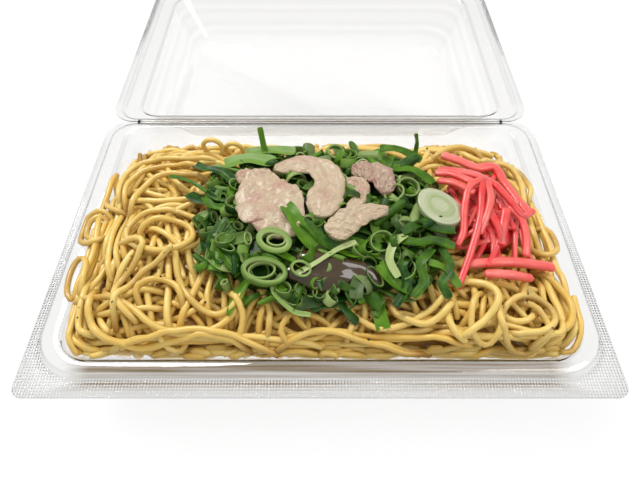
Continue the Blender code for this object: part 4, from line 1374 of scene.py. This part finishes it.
ginger = {
    "seed": 8,
    "strips": 44,
    "coreDrop": 3.2,
    "placed": (      # strips on top of the heap, laid one by one; the first five are thinner
        ((61.5, 9.5, 48.6), (56.0, 6.0, 48.8), (53.0, -2.0, 46.8), (51.5, -12.0, 44.0), (49.0, -16.5, 42.5)),
        ((62.0, 10.0, 48.2), (59.5, 2.0, 48.8), (57.5, -8.0, 46.6), (53.0, -20.0, 43.6), (47.0, -33.0, 41.0)),
        ((63.0, 8.0, 48.4), (62.5, 0.0, 48.6), (60.0, -7.0, 47.0), (57.0, -13.0, 45.0)),
        ((66.0, 7.0, 48.0), (71.0, -1.0, 46.5), (74.0, -5.5, 45.0), (79.0, -2.0, 43.6)),
        ((70.0, -2.0, 45.5), (73.5, -7.0, 44.6), (74.0, -14.0, 43.0), (73.0, -20.0, 41.2)),
        ((60.0, -2.0, 47.0), (64.0, -10.0, 45.4), (65.0, -16.0, 43.8)),
        ((68.0, -4.0, 46.4), (66.0, -10.0, 45.2), (64.5, -17.0, 43.6)),
        ((46.0, 11.0, 46.2), (51.0, 8.5, 47.6), (56.5, 3.5, 48.0)),
        ((45.5, 15.5, 45.6), (50.5, 14.0, 47.0), (57.0, 9.0, 48.0)),
        ((47.0, 18.0, 44.8), (53.0, 16.0, 46.2), (60.0, 12.5, 47.4), (66.0, 7.5, 47.4)),
    ),
    "loose": {      # plan corners and half width
        "ginger_strip_long": (((52.5, -23.8), (67.0, -23.4), (83.0, -22.6)), 1.7),
        "ginger_strip_short": (((57.5, -28.4), (64.5, -29.6), (72.5, -29.2)), 1.5),
        "ginger_strip_back": (((51.0, 29.6), (57.0, 26.5), (64.0, 23.5), (71.0, 24.0), (74.0, 17.0),
                               (77.0, 9.0), (80.0, 2.0)), 1.9),
    },
}

gingerMaterial = foodMaterial("pickledGinger", light=(0.90, 0.13, 0.105), dark=(0.74, 0.028, 0.035),
                              deep=(0.92, 0.30, 0.26), patchScale=170.0, patchShare=1.6, roughness=0.3,
                              coat=0.25, subsurface=0.35, scatter=(1.0, 0.25, 0.2), bumpScale=1000.0,
                              bump=0.2)


def gingerStrip(pile, rng, corners, width=1.25, thick=0.95, pale=0.0):
    # A square-cut strip through its corners, a little uneven along its length.
    corners = np.array(corners, float)
    count = max(int(np.linalg.norm(np.diff(corners, axis=0), axis=1).sum() / 1.1), 8)
    path = curveThrough(corners, count)
    uneven = 1.0 + 0.10 * easyNoise(rng, 2, count, 5).T
    radii = uneven * (width, thick)
    tone = rng.uniform(0.0, 0.9) * (1.0 - pale)
    faded = np.clip(0.3 * easyNoise(rng, 1, count, 4)[0] + 0.3 * pale, 0.0, 1.0)
    look = np.stack([np.full(count, tone), faded, np.zeros(count)], axis=1)
    pile.tube(path, radii, 10, (0.15, 0.1, 1.0), look, squareness=0.5)


def makeGinger():
    # A heap of square-cut strips draped over the noodles, its upper ones placed one by one, and the
    # strips that lie apart.
    rng = np.random.default_rng(ginger["seed"])
    low, high = (np.array(corner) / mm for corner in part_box("ginger_heap"))
    gingerTop = nodeTop("ginger_heap", 1.5)
    middle, half = (low + high) / 2, (high - low) / 2
    angle = np.linspace(0.0, 2 * pi, 40, endpoint=False)[None, :]
    share = np.concatenate([np.linspace(0.05, 0.74, 8), np.linspace(0.76, 0.05, 8)])[:, None]
    x = middle[0] + half[0] * share * np.cos(angle)
    y = middle[1] + half[1] * share * np.sin(angle)
    z = gingerTop(x, y) - ginger["coreDrop"]
    z[:8] = noodleTop(x[:8], y[:8]) - 4.0      # the core's underside
    pile = Pile()
    pile.grid(np.stack([x, y, z], axis=-1), (0.9, 0.0, 0.0), wrapV=True, capEnds=True)
    for number in range(ginger["strips"]):
        spot = middle[:2] + half[:2] * rng.uniform(-0.8, 0.8, 2)
        aim = rng.normal(1.35, 0.7)
        length = rng.uniform(10.0, 24.0)
        t = np.linspace(-0.5, 0.5, 5)
        turn = aim + rng.uniform(-0.5, 0.5) * t
        plan = spot + np.stack([np.cos(turn) * t * length, np.sin(turn) * t * length], axis=1)
        level = np.maximum(gingerTop(plan[:, 0], plan[:, 1]) - 2.2 + 1.6 * number / ginger["strips"],
                           noodleTop(plan[:, 0], plan[:, 1]) + 0.4)
        gingerStrip(pile, rng, np.c_[plan, level], rng.uniform(0.75, 1.25), rng.uniform(0.6, 0.9))
    for number, corners in enumerate(ginger["placed"]):
        gingerStrip(pile, rng, corners, 1.3 if number < 5 else 1.6, 0.9)
    seat(pile.finish("gingerHeap", gingerMaterial), "ginger_heap")
    for name, (corners, width) in ginger["loose"].items():
        plan = np.array(corners)
        height = nodeTop(name, 1.0)(plan[:, 0], plan[:, 1]) - 1.1
        pile = Pile()
        gingerStrip(pile, rng, np.c_[plan, height], width, 1.15, pale=0.8)
        seat(pile.finish(inTurn(name), gingerMaterial), name)


makeGinger()


glaze = {
    "middle": (4.0, -29.2),
    "half": (16.0, 6.2),
    "slant": -0.06,
    "rise": 1.0,
    "color": (0.060, 0.034, 0.011, 1.0),
}


def makeGlaze():
    # Sauce pooled among the greens in front: an oval with a wavering edge that swells over what it lies on,
    # closed 2.5 mm below.
    angle = np.linspace(0.0, 2 * pi, 64, endpoint=False)[None, :]
    share = np.concatenate([np.linspace(0.03, 1.0, 18), [1.0], np.linspace(0.95, 0.03, 6)])[:, None]
    wobble = 1.0 + 0.12 * np.cos(3 * angle + 0.5) + 0.08 * np.cos(5 * angle + 2.0)
    x = glaze["middle"][0] + glaze["half"][0] * share * wobble * np.cos(angle)
    y = glaze["middle"][1] + glaze["half"][1] * share * wobble * np.sin(angle)
    y += glaze["slant"] * (x - glaze["middle"][0])
    ground = np.maximum(greensTop(x, y), noodleTop(x, y)) - 0.2
    ripple = 0.45 * np.sin(0.32 * x + 0.5 * y) * np.sin(0.2 * x - 0.45 * y + 1.0)
    z = ground + (glaze["rise"] + ripple) * (1.0 - share ** 4) - 0.3
    z[18:] = ground[18:] - 2.5
    material, shader = newMaterial("glaze")
    setSockets(shader, {"Base Color": glaze["color"], "Roughness": 0.10, "Coat Weight": 0.6,
                        "Subsurface Weight": 0.3, "Subsurface Scale": 0.002})
    pile = Pile()
    pile.grid(np.stack([x, y, z], axis=-1)[::-1], wrapV=True, capEnds=True)
    seat(pile.finish("glaze", material), None)


makeGlaze()


pepper = {
    "grains": 170,
    "smallest": 0.14,
    "spread": 0.36,
    "seed": 21,
}


def makePepper():
    # Cracked pepper: small uneven grains on the upper strands. Those past the heap's edge move inwards.
    rng = np.random.default_rng(pepper["seed"])
    count = pepper["grains"]
    spot = np.stack([rng.uniform(-88.0, 88.0, count), rng.uniform(-50.0, 42.0, count)], axis=1)
    spot[(np.abs(spot[:, 0]) > 84.0) | (topBed.under(spot) < 24.0)] *= 0.8
    centres = np.c_[spot, topBed.under(spot) + 0.05]
    sizes = pepper["smallest"] + pepper["spread"] * rng.uniform(size=count) ** 2
    u, v = np.linspace(0.12, pi - 0.12, 5)[:, None], np.linspace(0.0, 2 * pi, 8, endpoint=False)
    ball = np.stack([np.sin(u) * np.cos(v), np.sin(u) * np.sin(v), np.cos(u) + 0.0 * v], axis=-1)
    pile = Pile()
    for centre, size in zip(centres, sizes):
        rough = ball * (1.0 + 0.25 * rng.uniform(-1.0, 1.0, (5, 8, 1))) * size
        pile.grid(rough[::-1] + centre, wrapV=True, capEnds=True)
    material = foodMaterial("pepper", light=(0.03, 0.02, 0.015), dark=(0.09, 0.055, 0.03),
                            deep=(0.1, 0.07, 0.05), roughness=0.6)
    seat(pile.finish("pepper", material), None)


makePepper()
print("toppings done")


studio = {
    "floorReach": 4.0,
    "floorHeight": -0.0004,
    "floorGlow": 0.86,
    "low": (0.02, (0.44, 0.44, 0.45, 1.0)),      # height and shade at each end of the room's gradient
    "high": (0.45, (0.55, 0.55, 0.55, 1.0)),
    "lamps": {      # place, size in metres, power in watts
        "keyLamp": ((-0.35, 0.45, 0.85), 0.4, 6.4),
        "fillLamp": ((0.5, -0.1, 0.8), 0.5, 2.5),
    },
    "lampAim": (0.0, 0.0, 0.03),
    "cameraPlace": (0.0, -0.12156, 0.18753),
    "cameraTilt": 53.58,      # degrees below level
    "lens": 28.27,
}


def makeFloor():
    # A pale floor that glows a little, so that it stays white.
    reach, height = studio["floorReach"], studio["floorHeight"]
    plan = ((-reach, -reach), (reach, -reach), (reach, reach), (-reach, reach))
    corners = [(x, y, height) for x, y in plan]
    floorMesh = bpy.data.meshes.new("floor")
    floorMesh.from_pydata(corners, [], [(0, 1, 2, 3)])
    floor = bpy.data.objects.new("floor", floorMesh)
    bpy.context.scene.collection.objects.link(floor)
    material, shader = newMaterial("floorWhite")
    setSockets(shader, {"Base Color": (0.12, 0.12, 0.12, 1.0), "Roughness": 0.7, "Specular IOR Level": 0.0,
                        "Emission Color": (1.0, 1.0, 1.0, 1.0), "Emission Strength": studio["floorGlow"]})
    floorMesh.materials.append(material)


def makeRoom():
    # A white room that is a little darker low down, and two broad soft lamps.
    world = bpy.data.worlds.new("room")
    bpy.context.scene.world = world
    world.use_nodes = True
    nodes, links = world.node_tree.nodes, world.node_tree.links
    apart = nodes.new("ShaderNodeSeparateXYZ")
    links.new(nodes.new("ShaderNodeTexCoord").outputs["Generated"], apart.inputs["Vector"])
    ramp = nodes.new("ShaderNodeValToRGB")
    for element, (height, shade) in zip(ramp.color_ramp.elements, (studio["low"], studio["high"])):
        element.position = height
        element.color = shade
    links.new(apart.outputs["Z"], ramp.inputs["Fac"])
    links.new(ramp.outputs["Color"], nodes["Background"].inputs["Color"])
    for name, (spot, size, power) in studio["lamps"].items():
        lamp = bpy.data.lights.new(name, "AREA")
        lamp.shape = "DISK"
        lamp.size = size
        lamp.energy = power
        holder = bpy.data.objects.new(name, lamp)
        holder.location = spot
        holder.rotation_euler = (Vector(studio["lampAim"]) - Vector(spot)).to_track_quat("-Z", "Y").to_euler()
        bpy.context.scene.collection.objects.link(holder)
    bpy.context.scene.view_settings.view_transform = "Standard"


def makeCamera():
    # Close over the tray's front edge, tilted well down.
    lens = bpy.data.cameras.new("camera")
    lens.lens = studio["lens"]
    lens.clip_start = 0.01
    holder = bpy.data.objects.new("camera", lens)
    holder.location = studio["cameraPlace"]
    holder.rotation_euler = (radians(90.0 - studio["cameraTilt"]), 0.0, 0.0)
    bpy.context.scene.collection.objects.link(holder)
    bpy.context.scene.camera = holder


makeFloor()
makeRoom()
makeCamera()
print("room and camera done")
